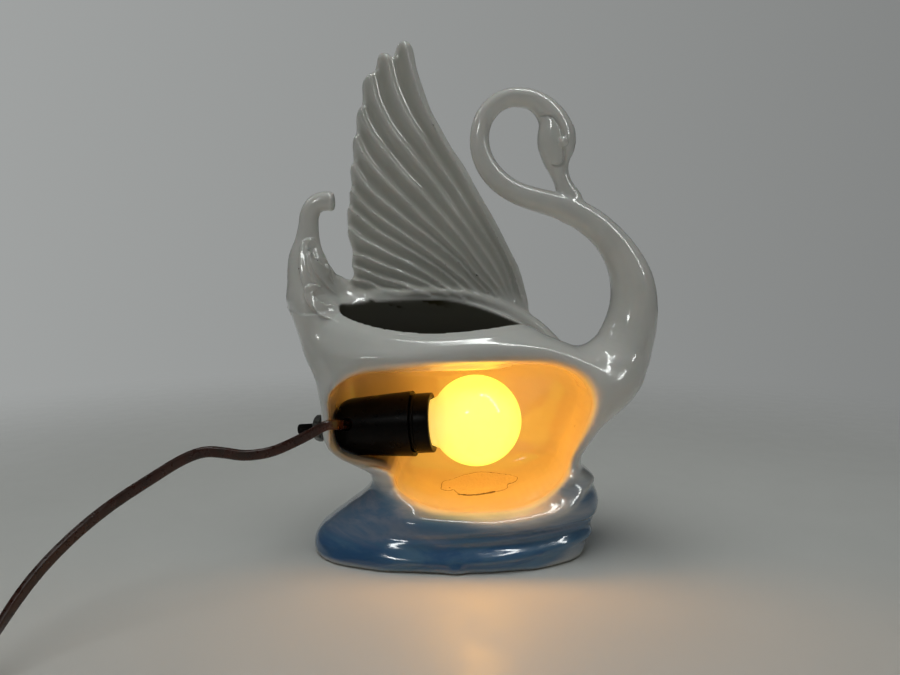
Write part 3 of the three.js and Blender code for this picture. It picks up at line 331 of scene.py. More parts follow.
def path_distance(x, z, path):
    """Distance to a polyline, signed by side, and the path's own columns at the nearest point."""
    shape = np.broadcast(x, z).shape
    best = np.full(shape, 1e9, np.float32)
    side = np.zeros(shape, np.float32)
    columns = [np.zeros(shape, np.float32) for _ in range(path.shape[1] - 2)]
    for start, end in zip(path[:-1], path[1:]):
        dx, dz = end[:2] - start[:2]
        t = np.clip(((x - start[0]) * dx + (z - start[1]) * dz) / (dx * dx + dz * dz), 0, 1)
        off_x = x - start[0] - t * dx
        off_z = z - start[1] - t * dz
        squared = off_x * off_x + off_z * off_z
        closer = squared < best
        best = np.where(closer, squared, best)
        side = np.where(closer, dx * off_z - dz * off_x, side)
        for k, column in enumerate(columns):
            value = start[2 + k] + t * (end[2 + k] - start[2 + k])
            columns[k] = np.where(closer, value, column)
    return np.sqrt(best), np.sign(side), columns


def outline_distance(x, z, outline):
    """Distance to a closed outline, negative inside it."""
    loop = np.vstack([outline, outline[:1]])
    inside = np.zeros(np.broadcast(x, z).shape, bool)
    for start, end in zip(loop[:-1], loop[1:]):
        dx, dz = end - start
        spans = (start[1] <= z) != (end[1] <= z)
        inside ^= spans & (x < start[0] + (z - start[1]) * dx / (dz if dz else 1e-9))
    return path_distance(x, z, loop)[0] * np.where(inside, -1, 1)



# ---- Ceramic field ----

BODY = smooth_rows(BODY_ROWS)
TROUGH = smooth_rows(TROUGH_ROWS, 200)
NECK = smooth_path(NECK_ROWS, 4)
HEAD = smooth_path(HEAD_ROWS, 5)
TAIL = smooth_path(TAIL_ROWS, 4)
SADDLE = smooth_path(SADDLE_ROWS, 3)
BEAD = smooth_path(RIM_BEAD, 3)
MOUTH = smooth_path(RECESS_MOUTH, 4, closed=True)
CHAMBER = smooth_path(RECESS_CHAMBER, 4, closed=True)
WING_EDGE = smooth_path(WING_OUTLINE, 3, closed=True)
CRESTS = [smooth_path(crest, 3) for crest in WING_CRESTS]
CRESTS = [CRESTS[0] + LEADING_STEP] + CRESTS + [CRESTS[-1] + FOOT_STEP]
WAVES = smooth_rows(np.column_stack([WAVE_ANGLES] + [heights for heights, _, _ in WAVE_LINES]), 300)
PATCH = smooth_path(PATCH_OUTLINE, 3, closed=True)
CRACK = smooth_path(PATCH_CRACK, 3)


def column_at(table, height, column):
    return np.interp(height, table[:, 0], table[:, column]).astype(np.float32)


def rim_shape(x, y, near, far):
    """The share of the rim's rise at a place in plan: none at the near edge, all at the far."""
    along = np.clip((x - RIM_CENTRE) / RIM_HALF, -1.15, 1.15)
    share = np.clip((y - near) / (far - near) / RIM_SHARE, 0, 1)
    flatten = np.where(along > 0, 1.0, 0.35) * along**2
    ends = np.where(along > 0, 0.29, 0.38) * along**2
    return share * (1 - flatten) + ends


def level_of(x, y, z):
    """The height of the body row that passes through a point."""
    level = z + 0 * x * y
    for _ in range(3):
        shape = rim_shape(x, y, column_at(BODY, level, 3), column_at(BODY, level, 4))
        rise = column_at(BODY, level, 5)
        slope = (column_at(BODY, level + 1, 5) - rise) * shape
        level = level - (level + rise * shape - z) / (1 + slope)
    return level


def plan_form(x, y, table, level, open_near=False):
    """A row's squared ellipse as a value that is 1 on it, and its slopes in plan."""
    left, right, near, far = (column_at(table, level, i) for i in (1, 2, 3, 4))
    square = column_at(table, level, 6) if table.shape[1] > 5 else 2.2
    if open_near:
        near = near * 0 - 300
    half = (right - left) / 2
    across = np.abs(x - (left + right) / 2) / half
    depth = np.where(y < 0, -near, far)
    along = np.abs(y) / depth
    form = np.maximum((across**square + along**square) ** (1 / square), 1e-3)
    slope_x = (across / form) ** (square - 1) / half
    slope_y = (along / form) ** (square - 1) / depth
    return form, slope_x, slope_y


def rows_distance(x, y, table, level, open_near=False):
    form, slope_x, slope_y = plan_form(x, y, table, level, open_near)
    above = plan_form(x, y, table, level + 1, open_near)[0]
    below = plan_form(x, y, table, level - 1, open_near)[0]
    slope_z = (above - below) / 2
    return (form - 1) / np.sqrt(slope_x**2 + slope_y**2 + slope_z**2)


def wave_heights(x, y):
    """How high each flowing ridge or groove of the base lies at a place in plan."""
    angle = np.degrees(np.arctan2(-y * 1.6, x - 2))
    columns = range(1, 1 + len(WAVE_LINES))
    return [np.interp(angle, WAVES[:, 0], WAVES[:, i]).astype(np.float32) for i in columns]


def waves(x, y, z):
    """Ridges and grooves round the right and front of the base, as a height over its surface."""
    total = 0 * (x + y + z)
    for height, (_, width, size) in zip(wave_heights(x, y), WAVE_LINES):
        total = total + size * np.exp(-(((z - height) / width) ** 2))
    total = total * ease(x, -50, 25) * (1 - ease(z, 42, 54))
    foot = 1 - ease(z, 1.5, 6)
    drip = DRIP_SIZE * np.exp(-(((x - DRIP_X) / DRIP_WIDTH) ** 2)) * (1 - ease(y, -30, -10))
    wobble = 0.7 * np.sin(x / 7 + 1) * np.sin(x / 11 + y / 19)
    return total + foot * (drip + wobble)


def limb_distance(x, y, z, path):
    away, _, (wide, deep) = path_distance(x, z, path)
    a, b = wide / 2, deep / 2
    k0 = np.sqrt((away / a) ** 2 + (y / b) ** 2)
    k1 = np.sqrt((away / a**2) ** 2 + (y / b**2) ** 2)
    return k0 * (k0 - 1) / np.maximum(k1, 1e-4)


def wing_relief(x, z):
    """How far the ribs stand over the valleys, and that as a share of each rib's full height."""
    signed = []
    for crest in CRESTS:
        away, side, _ = path_distance(x, z, crest)
        signed.append(away * side)
    relief = np.zeros(signed[0].shape, np.float32)
    share = np.ones(signed[0].shape, np.float32)
    for before, after in zip(signed[:-1], signed[1:]):
        pitch = np.maximum(np.abs(before) + np.abs(after), 1e-3)
        nearest = np.minimum(np.abs(before), np.abs(after)) / pitch
        crest = (1 - 2 * np.hypot(nearest, 0.035)) ** 2
        size = np.minimum(WING_CREST, 0.42 * pitch)
        between = (before * after) <= 0
        relief = np.where(between, size * crest, relief)
        share = np.where(between, crest, share)
    return relief, share


def wing_distance(x, y, z):
    edge = outline_distance(x, z, WING_EDGE)
    half = WING_VALLEY + wing_relief(x, z)[0]
    lean = -WING_LEAN * np.clip((z - WING_FOOT) / (WING_TOP - WING_FOOT), 0, 1) ** 2
    return smooth_max(edge, np.abs(y - WING_PLANE - lean) - half, 2.4)


def foot_lean(x, z):
    """How far towards the room the foot of the tail leans as it runs right to the saddle."""
    return FOOT_LEAN * ease(x, -84, -58) * (1 - ease(z, 150, 172))


def tapered(path):
    """A smooth path with one more column, which runs from -1 to 1 along it."""
    ends = np.linspace(-1, 1, len(path))
    return smooth_path([(*point, end) for point, end in zip(path, ends)], 4)


def crease(x, z, path, width):
    """1 along a line, fading to nothing about the given width away and towards its ends."""
    away, _, (end,) = path_distance(x, z, tapered(path))
    return np.exp(-((away / width) ** 2)) * (1 - end**6)


def lap(x, z, path):
    """1 on the side of a line where the upper feather lies, fading out away from the line."""
    away, side, (end,) = path_distance(x, z, tapered(path))
    signed = away * side
    return ease(signed, -0.5, 0.8) * (1 - ease(signed, 5, 22)) * (1 - end**4)


def limb_relief(x, y, z):
    """How far the carving of the head and tail stands out, on both sides of the swan."""
    across = ease(np.abs(y), 0.5, 4)
    relief = 0 * (x + z)
    for path in CHEEK_CREASES:
        relief = relief - CREASE_DEPTH * crease(x, z, path, CREASE_WIDTH)
    for path in TAIL_LAPS:
        relief = relief + LAP_HEIGHT * lap(x, z, path)
    for path in TAIL_RIDGES:
        relief = relief + RIDGE_HEIGHT * crease(x, z, path, RIDGE_WIDTH)
    return relief * across


def recess_distance(x, y, z, body_inside, trough):
    share = ease(y, -36, -18)
    section = outline_distance(x, z, MOUTH) * (1 - share) + outline_distance(x, z, CHAMBER) * share
    flare = 0.35 * np.maximum(-38 - y, 0)
    recess = smooth_max(section - flare, y - RECESS_BACK, 26)
    walls = body_inside + WALL - 60 * (1 - ease(y, -34, -16))
    recess = smooth_max(recess, walls, 5)
    return smooth_max(recess, WALL - trough, 8)


def trough_distance(x, y, z):
    sides = rows_distance(x, y, TROUGH, z + 0 * x * y)
    return smooth_max(sides, np.maximum(TROUGH_ROWS[0][0] - z, z - TROUGH_ROWS[-1][0]), 7)


def holder_coordinates(x, y, z):
    """Distances near, along and up from the lampholder's origin."""
    dx, dy, dz = (v - c for v, c in zip((x, y, z), HOLDER_ORIGIN))
    return tuple(dx * v[0] + dy * v[1] + dz * v[2] for v in (HOLDER_NEAR, HOLDER_AXIS, HOLDER_UP))


def holder_seats(x, y, z):
    near, along, up = holder_coordinates(x, y, z)
    radius = np.hypot(near, up)
    hole = smooth_max(radius - HOLDER_HOLE, np.abs(along) - 20, 0.5)
    seat = smooth_max(radius - SEAT_RADIUS, along + HOLDER_WALL, EDGE_BLEND)
    seat = smooth_max(seat, -30 - along, 1)
    cone = np.interp(along, *zip(*POCKET_ROWS)).astype(np.float32)
    pocket = smooth_max(radius - cone, np.abs(along - 23.5) - 23.5, 2)
    return np.minimum(np.minimum(hole, seat), pocket)


def underside(x, y, z, body):
    """The slightly hollow bottom inside its foot ring, and the drain hole."""
    dish = smooth_max(body + DISH_WALL, z - DISH_DEPTH, 1.5)
    place, radius, depth = DRAIN
    drain = smooth_max(np.hypot(x - place, y) - radius, z - depth, 1)
    return np.minimum(dish, drain)


def ceramic(x, y, z):
    """Distance to the casting's surface, in mm. Takes arrays that broadcast together."""
    level = level_of(x, y, z)
    side = rows_distance(x, y, BODY, level) - waves(x, y, z)
    outside = smooth_max(side, level - BODY_ROWS[-1][0], 3)
    outside = smooth_max(outside, -z, 2.5)
    neck = limb_distance(x, y, z, NECK)
    head = limb_distance(x, y, z, HEAD)
    neck = smooth_min(neck, head, 0.05 + 1.6 * (1 - ease(z, 205, 225)))
    swan = smooth_min(outside, neck, NECK_BLEND)
    back = y - foot_lean(x, z)
    tail = limb_distance(x, back, z, TAIL)
    tail = smooth_max(tail, np.minimum(x - TAIL_TIP[0], z - TAIL_TIP[1]), 2.6)
    swan = smooth_min(swan, tail, TAIL_BLEND) - limb_relief(x, back, z)
    saddle_back = y - SADDLE_DEPTH + FOOT_LEAN * (1 - ease(x, -82, -62))
    swan = smooth_min(swan, limb_distance(x, saddle_back, z, SADDLE), SADDLE_BLEND)
    for sign in (-1, 1):
        eye = np.sqrt((x - EYE[0]) ** 2 + (y - sign * EYE[1]) ** 2 + (z - EYE[2]) ** 2) - EYE[3]
        swan = smooth_min(swan, eye, 0.5)
    trough = trough_distance(x, y, z)
    inner = rows_distance(x, y, BODY, level, open_near=True)
    recess = recess_distance(x, y, z, inner, trough)
    lip = 3 + 9 * (1 - ease(y, -34, -10)) * (0.45 + 0.55 * ease(x, -66, -40))
    patch = outline_distance(x, y + 0 * z, PATCH)
    floor = (1 - ease(patch, -0.9, 0.3)) * (1 - ease(z, 48, 56)) * ease(z, 14, 20)
    swan = smooth_max(swan, -recess - PATCH_THICKNESS * floor, lip)
    swan = smooth_max(swan, -trough, 1.8 + 12 * ease(z, 138, 147) * (1 - ease(x, -52, -44)))
    swan = smooth_min(swan, limb_distance(x, y - BEAD_DEPTH, z, BEAD), BEAD_BLEND)
    swan = smooth_min(swan, wing_distance(x, y, z), WING_BLEND)
    swan = smooth_max(swan, -holder_seats(x, y, z), EDGE_BLEND)
    return smooth_max(swan, -underside(x, y, z, side), EDGE_BLEND)


# ---- Meshing ----


def surface_net(values, origin, step):
    """One vertex in each grid cell that the surface crosses, and a quad for each crossed edge."""
    inside = values < 0
    cells = np.array(values.shape) - 1
    corners = list(itertools.product((0, 1), repeat=3))
    count = np.zeros(cells, np.int8)
    for corner in corners:
        count += inside[tuple(slice(c, c + n) for c, n in zip(corner, cells))]
    active = (count > 0) & (count < 8)
    where = np.argwhere(active)
    index = np.full(cells, -1, np.int64)
    index[active] = np.arange(len(where))
    total, crossed = np.zeros((len(where), 3)), np.zeros(len(where))
    for a, b in itertools.combinations(corners, 2):
        if np.abs(np.subtract(a, b)).sum() != 1:
            continue
        va, vb = (values[tuple((where + corner).T)] for corner in (a, b))
        cross = (va < 0) != (vb < 0)
        t = np.where(cross, va / np.where(cross, va - vb, 1), 0)
        total += (np.array(a) + t[:, None] * np.subtract(b, a)) * cross[:, None]
        crossed += cross
    quads = []
    for axis in range(3):
        u, v = (axis + 1) % 3, (axis + 2) % 3
        edges = np.argwhere(np.diff(inside, axis=axis))
        edges = edges[(edges[:, (u, v)] > 0).all(1) & (edges[:, (u, v)] < cells[[u, v]]).all(1)]
        ring = []
        for step_u, step_v in ((-1, -1), (0, -1), (0, 0), (-1, 0)):
            cell = edges.copy()
            cell[:, u] += step_u
            cell[:, v] += step_v
            ring.append(index[tuple(cell.T)])
        quad = np.column_stack(ring)
        turned = ~inside[tuple(edges.T)]
        quad[turned] = quad[turned][:, ::-1]
        quads.append(quad)
    return origin + (where + total / crossed[:, None]) * step, np.vstack(quads)


def settle(vertices, values, origin, step, rounds=2):
    """Moves net vertices onto the exact surface, along the field's slope in the grid."""
    slopes = np.gradient(values, step)
    for _ in range(rounds):
        place = np.rint((vertices - origin) / step).astype(int)
        place = np.clip(place, 0, np.array(values.shape) - 1)
        normal = np.column_stack([slope[tuple(place.T)] for slope in slopes])
        normal /= np.maximum(np.linalg.norm(normal, axis=1), 1e-6)[:, None]
        away = ceramic(*(vertices[:, i].astype(np.float32) for i in range(3)))
        vertices = vertices - normal * np.clip(away, -step, step)[:, None] * 0.9
    return vertices


def add_object(name, data, location=(0, 0, 0)):
    piece = bpy.data.objects.new(name, data)
    piece.location = location
    bpy.context.scene.collection.objects.link(piece)
    return piece


def mesh_object(name, vertices, faces):
    mesh = bpy.data.meshes.new(name)
    faces = [tuple(int(i) for i in face) for face in faces]
    mesh.from_pydata(np.asarray(vertices).tolist(), [], faces)
    mesh.validate()
    mesh.shade_smooth()
    return add_object(name, mesh)


# ---- Lampholder frame and lathe ----

JOINTS = {joint["name"]: joint for joint in frame["joints"]}
HOLDER_AXIS = np.array(JOINTS["bulb_turn"]["axis"])
HOLDER_ORIGIN = np.array(JOINTS["bulb_turn"]["pos_m"]) / MM
HOLDER_NEAR = np.array([HOLDER_AXIS[1], -HOLDER_AXIS[0], 0])
HOLDER_NEAR /= np.linalg.norm(HOLDER_NEAR)
HOLDER_UP = np.cross(HOLDER_NEAR, HOLDER_AXIS)


def node_points(node):
    mesh = frame["nodes"][node].data
    points = np.zeros(len(mesh.vertices) * 3, np.float32)
    mesh.vertices.foreach_get("co", points)
    return points.reshape(-1, 3) / MM


def extent(node):
    """Where a turned CAD node starts and ends along the lampholder axis, and its outer radius."""
    near, along, up = holder_coordinates(*node_points(node).T)
    return along.min(), along.max(), np.hypot(near, up).max()


def from_holder(near, along, up):
    """Points in metres from distances near, along and up from the lampholder's origin, in mm."""
    local = np.stack(np.broadcast_arrays(near, along, up), axis=-1)
    basis = np.stack([HOLDER_NEAR, HOLDER_AXIS, HOLDER_UP])
    return (local @ basis + HOLDER_ORIGIN) * MM


def fillet(profile, radius, steps=3):
    """A closed or open profile with each corner rounded by about the given radius."""
    points = [np.array(p, float) for p in profile]
    rounded = []
    for i, point in enumerate(points):
        before, after = points[i - 1], points[(i + 1) % len(points)]
        if point[0] < 1e-6:
            rounded.append(point)
            continue
        reach = [min(radius, np.linalg.norm(other - point) * 0.45) for other in (before, after)]
        start = point + (before - point) / np.linalg.norm(before - point) * reach[0]
        end = point + (after - point) / np.linalg.norm(after - point) * reach[1]
        for t in np.linspace(0, 1, steps + 1):
            rounded.append((1 - t) ** 2 * start + 2 * t * (1 - t) * point + t * t * end)
    return rounded


def lathe(name, profile, segments=96, shape=None):
    """A turned piece from (radius, along) pairs. shape(radius, along, angle) gives new radii."""
    profile = np.array(profile, float)
    angle = np.arange(segments) * 2 * np.pi / segments
    radius = np.repeat(profile[:, :1], segments, axis=1)
    along = np.repeat(profile[:, 1:], segments, axis=1)
    if shape:
        radius = shape(radius, along, angle[None, :])
    points = from_holder(radius * np.cos(angle), along, radius * np.sin(angle)).reshape(-1, 3)
    rows = len(profile)
    faces = []
    for i in range(rows):
        j = (i + 1) % rows
        if profile[i, 0] < 1e-6 and profile[j, 0] < 1e-6:
            continue
        for k in range(segments):
            m = (k + 1) % segments
            faces.append((i * segments + k, i * segments + m, j * segments + m, j * segments + k))
    piece = mesh_object(name, points, faces)
    tidy_mesh(piece)
    return piece


SHARP_ANGLE = math.radians(35)
MERGE = 1e-6  # metres


def tidy_mesh(piece):
    """Merges doubled points, points the faces out and marks the sharp edges."""
    work = bmesh.new()
    work.from_mesh(piece.data)
    bmesh.ops.remove_doubles(work, verts=work.verts, dist=MERGE)
    bmesh.ops.dissolve_degenerate(work, edges=work.edges, dist=MERGE)
    bmesh.ops.recalc_face_normals(work, faces=work.faces)
    work.to_mesh(piece.data)
    work.free()
    piece.data.set_sharp_from_angle(angle=SHARP_ANGLE)


# ---- Ceramic piece ----


def ceramic_colouring(vertices):
    """A value at each vertex for each of SURFACE_MAPS."""
    x, y, z = vertices.T
    lip, crest, _, _, _, bulge = wave_heights(x, y)
    top = 37 + 7 * (1 - ease(x, -60, -10)) + 9 * ease(x, 40, 75)
    top = top + 3 * np.sin(x / 13) - 8 * ease(y, 10, 35)
    blue = 1 - ease(z, top - 12, top + 9)
    right = ease(x, -20, 40)
    pale = np.exp(-(((z - crest) / 2.4) ** 2)) + 0.3 * np.exp(-(((z - lip) / 5) ** 2))
    blue = blue * (1 - 0.55 * right * np.minimum(pale, 1))
    blue = blue * (1 - 0.4 * ease(x, 45, 72) * (1 - ease(z, bulge - 2, bulge + 4)))
    blue = blue * (1 - 0.4 * (1 - ease(z, 1.2, 4.5)))
    mouth = outline_distance(x, z, MOUTH)
    # Blue on the near face of the recess's right lip: partly its glaze, partly painted shade.
    lip_blue_and_shade = (1 - ease(z, 50, 92)) * ease(x, 45, 75) * ease(-y, 18, 34) * 0.7
    level = level_of(x, y, z)
    inner = rows_distance(x, y, BODY, level, open_near=True)
    trough = trough_distance(x, y, z)
    recess = recess_distance(x, y, z, inner, trough)
    inside = (1 - ease(recess, 0.6, 2.5)) * (1 - ease(-y, 24, 38))
    blue = np.maximum(blue, lip_blue_and_shade) * (1 - inside)
    blue = blue * (0.8 + 0.35 * np.exp(-(((z - bulge) / 6) ** 2)))
    bare = ease(-z, -1.0, -0.3)
    # Soil stain and painted shade: the trough's inside is darkened from just under the rim.
    rim = BODY_ROWS[-1][0] + 3 * (1 - ease(x, -52, -44))
    soil_and_shade = ease(-trough, -1.0, 0.2) * ease(rim - level, 0.2, 1.2)
    in_recess = (z > 14) & (z < 52) & (mouth < 4) & (y > -30) & (y < 40)
    # Painted shade in the wing's valleys: greyest midway between the crests, above the planter's
    # rim.
    on_wing = ease(-outline_distance(x, z, WING_EDGE), 0.5, 4)
    on_wing = on_wing * ease(y, 10, 14) * ease(z, 142, 150)
    valley_shade = (1 - wing_relief(x, z)[1]) * on_wing
    patch = np.where(in_recess, outline_distance(x, y, PATCH), 50)
    crack = np.where(in_recess, path_distance(x, y, CRACK)[0], 50)
    return blue, bare, inside, soil_and_shade, valley_shade, patch, crack


# Blue glaze (with painted shade on the recess's right lip), bare foot, inside of the recess (with
# painted shade), soil stain with painted shade in the trough, painted shade in the wing's valleys,
# and how far the patch of glue and its crack are.
SURFACE_MAPS = ("blue", "bare", "inside", "soil_and_shade", "valley_shade", "patch", "crack")


def is_carved(x, y, z):
    """Where the carving of the head and tail is finer than the grid."""
    head = (x > 44) & (z > 206) & (z < 254)
    tail = (x < -61) & (z > 128) & (z < 180) & (y < 12)
    return head | tail


def refine(piece, chosen):
    """Splits the quads in the chosen places in four, and gives the vertices' new places."""
    work = bmesh.new()
    work.from_mesh(piece.data)
    edges = [edge for edge in work.edges if all(chosen(*vertex.co) for vertex in edge.verts)]
    bmesh.ops.subdivide_edges(work, edges=edges, cuts=1, use_grid_fill=True)
    work.to_mesh(piece.data)
    work.free()
    places = np.zeros(len(piece.data.vertices) * 3)
    piece.data.vertices.foreach_get("co", places)
    return places.reshape(-1, 3)


def build_ceramic():
    low, high = (np.array(corner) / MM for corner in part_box("ceramic_swan_body"))
    origin = low - 4
    size = np.ceil((high - low + 8) / GRID_STEP).astype(int) + 1
    axes = [(origin[i] + GRID_STEP * np.arange(size[i])).astype(np.float32) for i in range(3)]
    x, y, z = axes[0][:, None, None], axes[1][None, :, None], axes[2][None, None, :]
    values = ceramic(x, y, z).astype(np.float32)
    vertices, quads = surface_net(values, origin, GRID_STEP)
    vertices = settle(vertices, values, origin, GRID_STEP)
    swan = mesh_object("ceramic_swan", vertices, quads)
    vertices = settle(refine(swan, is_carved), values, origin, GRID_STEP, 3)
    swan.data.vertices.foreach_set("co", (vertices * MM).astype(np.float32).ravel())
    for name, value in zip(SURFACE_MAPS, ceramic_colouring(vertices)):
        layer = swan.data.attributes.new(name, "FLOAT", "POINT")
        layer.data.foreach_set("value", value.astype(np.float32))
    return swan


# ---- Materials ----


class Nodes:
    """A short way to write a node material, or the world."""

    def __init__(self, name, kind=bpy.data.materials, output="Principled BSDF"):
        self.owner = kind.new(name)
        self.owner.use_nodes = True
        self.tree = self.owner.node_tree
        self.shader = self.tree.nodes[output]
        self.texture_place = self.add("TexCoord")
        self.position = self.texture_place.outputs["Object"]

    def add(self, kind, values=None, **links):
        node = self.tree.nodes.new("ShaderNode" + kind)
        for key, value in (values or {}).items():
            if key in node.inputs:
                node.inputs[key].default_value = value
            else:
                setattr(node, key, value)
        for key, link in links.items():
            self.link(link, node.inputs[key.replace("_", " ")])
        return node

    def link(self, output, target):
        if isinstance(output, (int, float, tuple)):
            target.default_value = output
        else:
            self.tree.links.new(output, target)

    def noise(self, scale, detail=4, roughness=0.55, distortion=0.0, stretch=None):
        place = self.position
        if stretch:
            place = self.add("Mapping", {"Scale": stretch}, Vector=place).outputs[0]
        values = {"Scale": scale, "Detail": detail, "Roughness": roughness}
        values["Distortion"] = distortion
        return self.add("TexNoise", values, Vector=place).outputs["Fac"]

    def ramp(self, value, low, high, out_low=0.0, out_high=1.0):
        values = {"From Min": low, "From Max": high, "To Min": out_low, "To Max": out_high}
        node = self.add("MapRange", values, Value=value)
        node.interpolation_type = "SMOOTHSTEP"
        return node.outputs[0]

    def math(self, operation, a, b=0.0):
        node = self.add("Math", {"operation": operation})
        self.link(a, node.inputs[0])
        self.link(b, node.inputs[1])
        return node.outputs[0]

    def mix(self, factor, a, b):
        node = self.add("Mix", {"data_type": "RGBA"}, Factor=factor)
        self.link(a, node.inputs[6])
        self.link(b, node.inputs[7])
        return node.outputs[2]

    def tones(self, value, low, high, first, second):
        """From one colour to another as a value goes from low to high."""
        return self.mix(self.ramp(value, low, high), (*first, 1), (*second, 1))

    def attribute(self, name):
        return self.add("Attribute", {"attribute_name": name}).outputs["Fac"]

    def bump(self, height, distance, strength=1.0, normal=None):
        node = self.add("Bump", {"Strength": strength, "Distance": distance}, Height=height)
        if normal is not None:
            self.link(normal, node.inputs["Normal"])
        return node.outputs[0]

    def grain(self, *layers):
        """Bumps on top of each other: the noise's scale and detail, then distance and strength."""
        normal = None
        for scale, detail, distance, strength in layers:
            normal = self.bump(self.noise(scale, detail), distance, strength, normal)
        return normal

    def wall_grey(self):
        """The brightness of the wall behind, across the picture."""
        across = self.add("SeparateXYZ", Vector=self.texture_place.outputs["Window"]).outputs["X"]
        ends = {"To Min": WALL_LIGHT[0], "To Max": WALL_LIGHT[1]}
        return self.add("MapRange", ends, Value=across).outputs[0]

    def finish(self, **inputs):
        for key, value in inputs.items():
            self.link(value, self.shader.inputs[key.replace("_", " ")])
        return self.owner


def glazed_ceramic():
    m = Nodes("glazed_ceramic")
    clouds = m.noise(28, 3)
    fine = m.noise(160, 5, 0.6)
    body = m.tones(clouds, 0.35, 0.7, (0.80, 0.79, 0.745), (0.73, 0.735, 0.70))
    # Painted shade: grey mixed into the wing's valleys between the ribs.
    body = m.mix(m.math("MULTIPLY", m.attribute("valley_shade"), 0.9), body, (0.52, 0.52, 0.46, 1))
    streaks = m.noise(16, 5, 0.6, 1.2, stretch=(1, 1, 3.4))
    deep = m.tones(streaks, 0.32, 0.66, (0.030, 0.115, 0.275), (0.10, 0.22, 0.36))
    amount = m.math("ADD", m.attribute("blue"), m.math("MULTIPLY", m.ramp(streaks, 0.3, 0.7), 0.3))
    amount = m.ramp(m.math("SUBTRACT", amount, 0.15), 0.1, 0.95)
    amount = m.math("MULTIPLY", amount, m.ramp(m.attribute("blue"), 0.0, 0.15))
    colour = m.mix(amount, body, deep)
    # Painted shade: the inside of the recess is darker and warmer than its white glaze, dimming the
    # lit recess.
    inner = m.tones(clouds, 0.3, 0.7, (0.60, 0.55, 0.44), (0.56, 0.50, 0.38))
    colour = m.mix(m.attribute("inside"), colour, inner)
    # Soil stain and painted shade inside the planter trough.
    stain_and_shade = m.tones(clouds, 0.3, 0.7, (0.016, 0.013, 0.0015), (0.028, 0.023, 0.004))
    colour = m.mix(m.attribute("soil_and_shade"), colour, stain_and_shade)
    ragged = m.math("MULTIPLY", m.math("SUBTRACT", m.noise(260, 3), 0.5), 1.6)
    away = m.math("ADD", m.attribute("patch"), ragged)
    glue = m.ramp(away, -0.25, 0.1, 1.0, 0.0)
    colour = m.mix(m.math("MULTIPLY", glue, 0.55), colour, (0.66, 0.56, 0.40, 1))
    seam = m.ramp(m.math("ABSOLUTE", away), 0.05, 0.4, 0.75, 0.0)
    crack = m.ramp(m.math("ADD", m.attribute("crack"), ragged), 0.5, 1.1, 0.98, 0.0)
    colour = m.mix(m.math("MAXIMUM", seam, crack), colour, (0.05, 0.028, 0.012, 1))
    cell = m.add("TexVoronoi", {"Scale": 95.0}, Vector=m.position)
    spot = m.math("LESS_THAN", cell.outputs["Distance"], 0.055)
    draw = m.add("SeparateColor", Color=cell.outputs["Color"]).outputs[0]
    pit = m.math("MULTIPLY", spot, m.math("GREATER_THAN", draw, 0.93))
    colour = m.mix(pit, colour, (0.12, 0.09, 0.06, 1))
    bisque = m.tones(fine, 0.35, 0.7, (0.68, 0.61, 0.50), (0.55, 0.48, 0.38))
    colour = m.mix(m.attribute("bare"), colour, bisque)
    uneven = m.grain((22, 2, 0.0011, 0.35), (330, 2, 0.00016, 0.25))
    pitted = m.bump(m.math("SUBTRACT", 1.0, pit), 0.0004, 0.8, uneven)
    crumbs = m.math("MULTIPLY", glue, m.ramp(m.noise(420, 4), 0.3, 0.7))
    pitted = m.bump(crumbs, 0.0003, 0.6, pitted)
    rough = m.ramp(fine, 0.3, 0.75, 0.09, 0.19)
    rough = m.math("MAXIMUM", rough, m.math("MULTIPLY", m.attribute("bare"), 0.8))
    rough = m.math("MAXIMUM", rough, m.math("MULTIPLY", m.attribute("soil_and_shade"), 0.75))
    gloss = m.math("SUBTRACT", 1.0, m.math("MAXIMUM", m.attribute("bare"), m.attribute("soil_and_shade")))
    return m.finish(
        Base_Color=colour, Roughness=rough, Normal=pitted, IOR=1.52,
        Coat_Weight=m.math("MULTIPLY", gloss, 0.6), Coat_Roughness=0.05,
        Specular_IOR_Level=m.ramp(gloss, 0, 1, 0.1, 0.5),
        Subsurface_Weight=0.06, Subsurface_Scale=0.004,
    )


# ---- Stage, light and camera ----


ROOM_LIGHT = 0.075  # what the room casts on the lamp
WALL_LIGHT = (0.36, 0.24)  # how bright the wall behind looks, at the left and right of the picture
WALL_TINT = (0.97, 1, 0.99, 1)
DAYLIGHT = (0.97, 1, 0.98)
FLOOR_FADE = (0.22, 0.9)  # metres from the middle, between which the floor turns into the wall
FLOOR_HALF = 4
CAMERA_PLACE = (0, -0.372, 0.1454)
CAMERA_PITCH = 3.8  # degrees down
LENS, SENSOR = 25.6, 36
BULB_POWER = 0.24
BULB_COLOUR = (1, 0.43, 0.05)

# Small bright sources seen only as reflections in the glaze: name, place, size, power.
GLINTS = (
    ("strip_right", (0.62, -0.33, 1.2), (0.07, 1.9), 6.5),
    ("strip_left", (-0.95, 0.12, 1.05), (0.05, 0.4), 0.8),
    ("window_pane", (-0.42, -0.88, 0.60), (0.15, 0.07), 0.6),
    ("ceiling_spot", (0.25, -0.30, 1.25), (0.12, 0.08), 0.55),
)


def area_light(name, place, target, size, power):
    light = bpy.data.lights.new(name, "AREA")
    light.shape = "RECTANGLE"
    light.size, light.size_y = size
    light.energy = power
    light.color = DAYLIGHT
    piece = add_object(name, light, place)
    piece.rotation_euler = (Vector(target) - Vector(place)).to_track_quat("-Z", "Y").to_euler()
    return piece


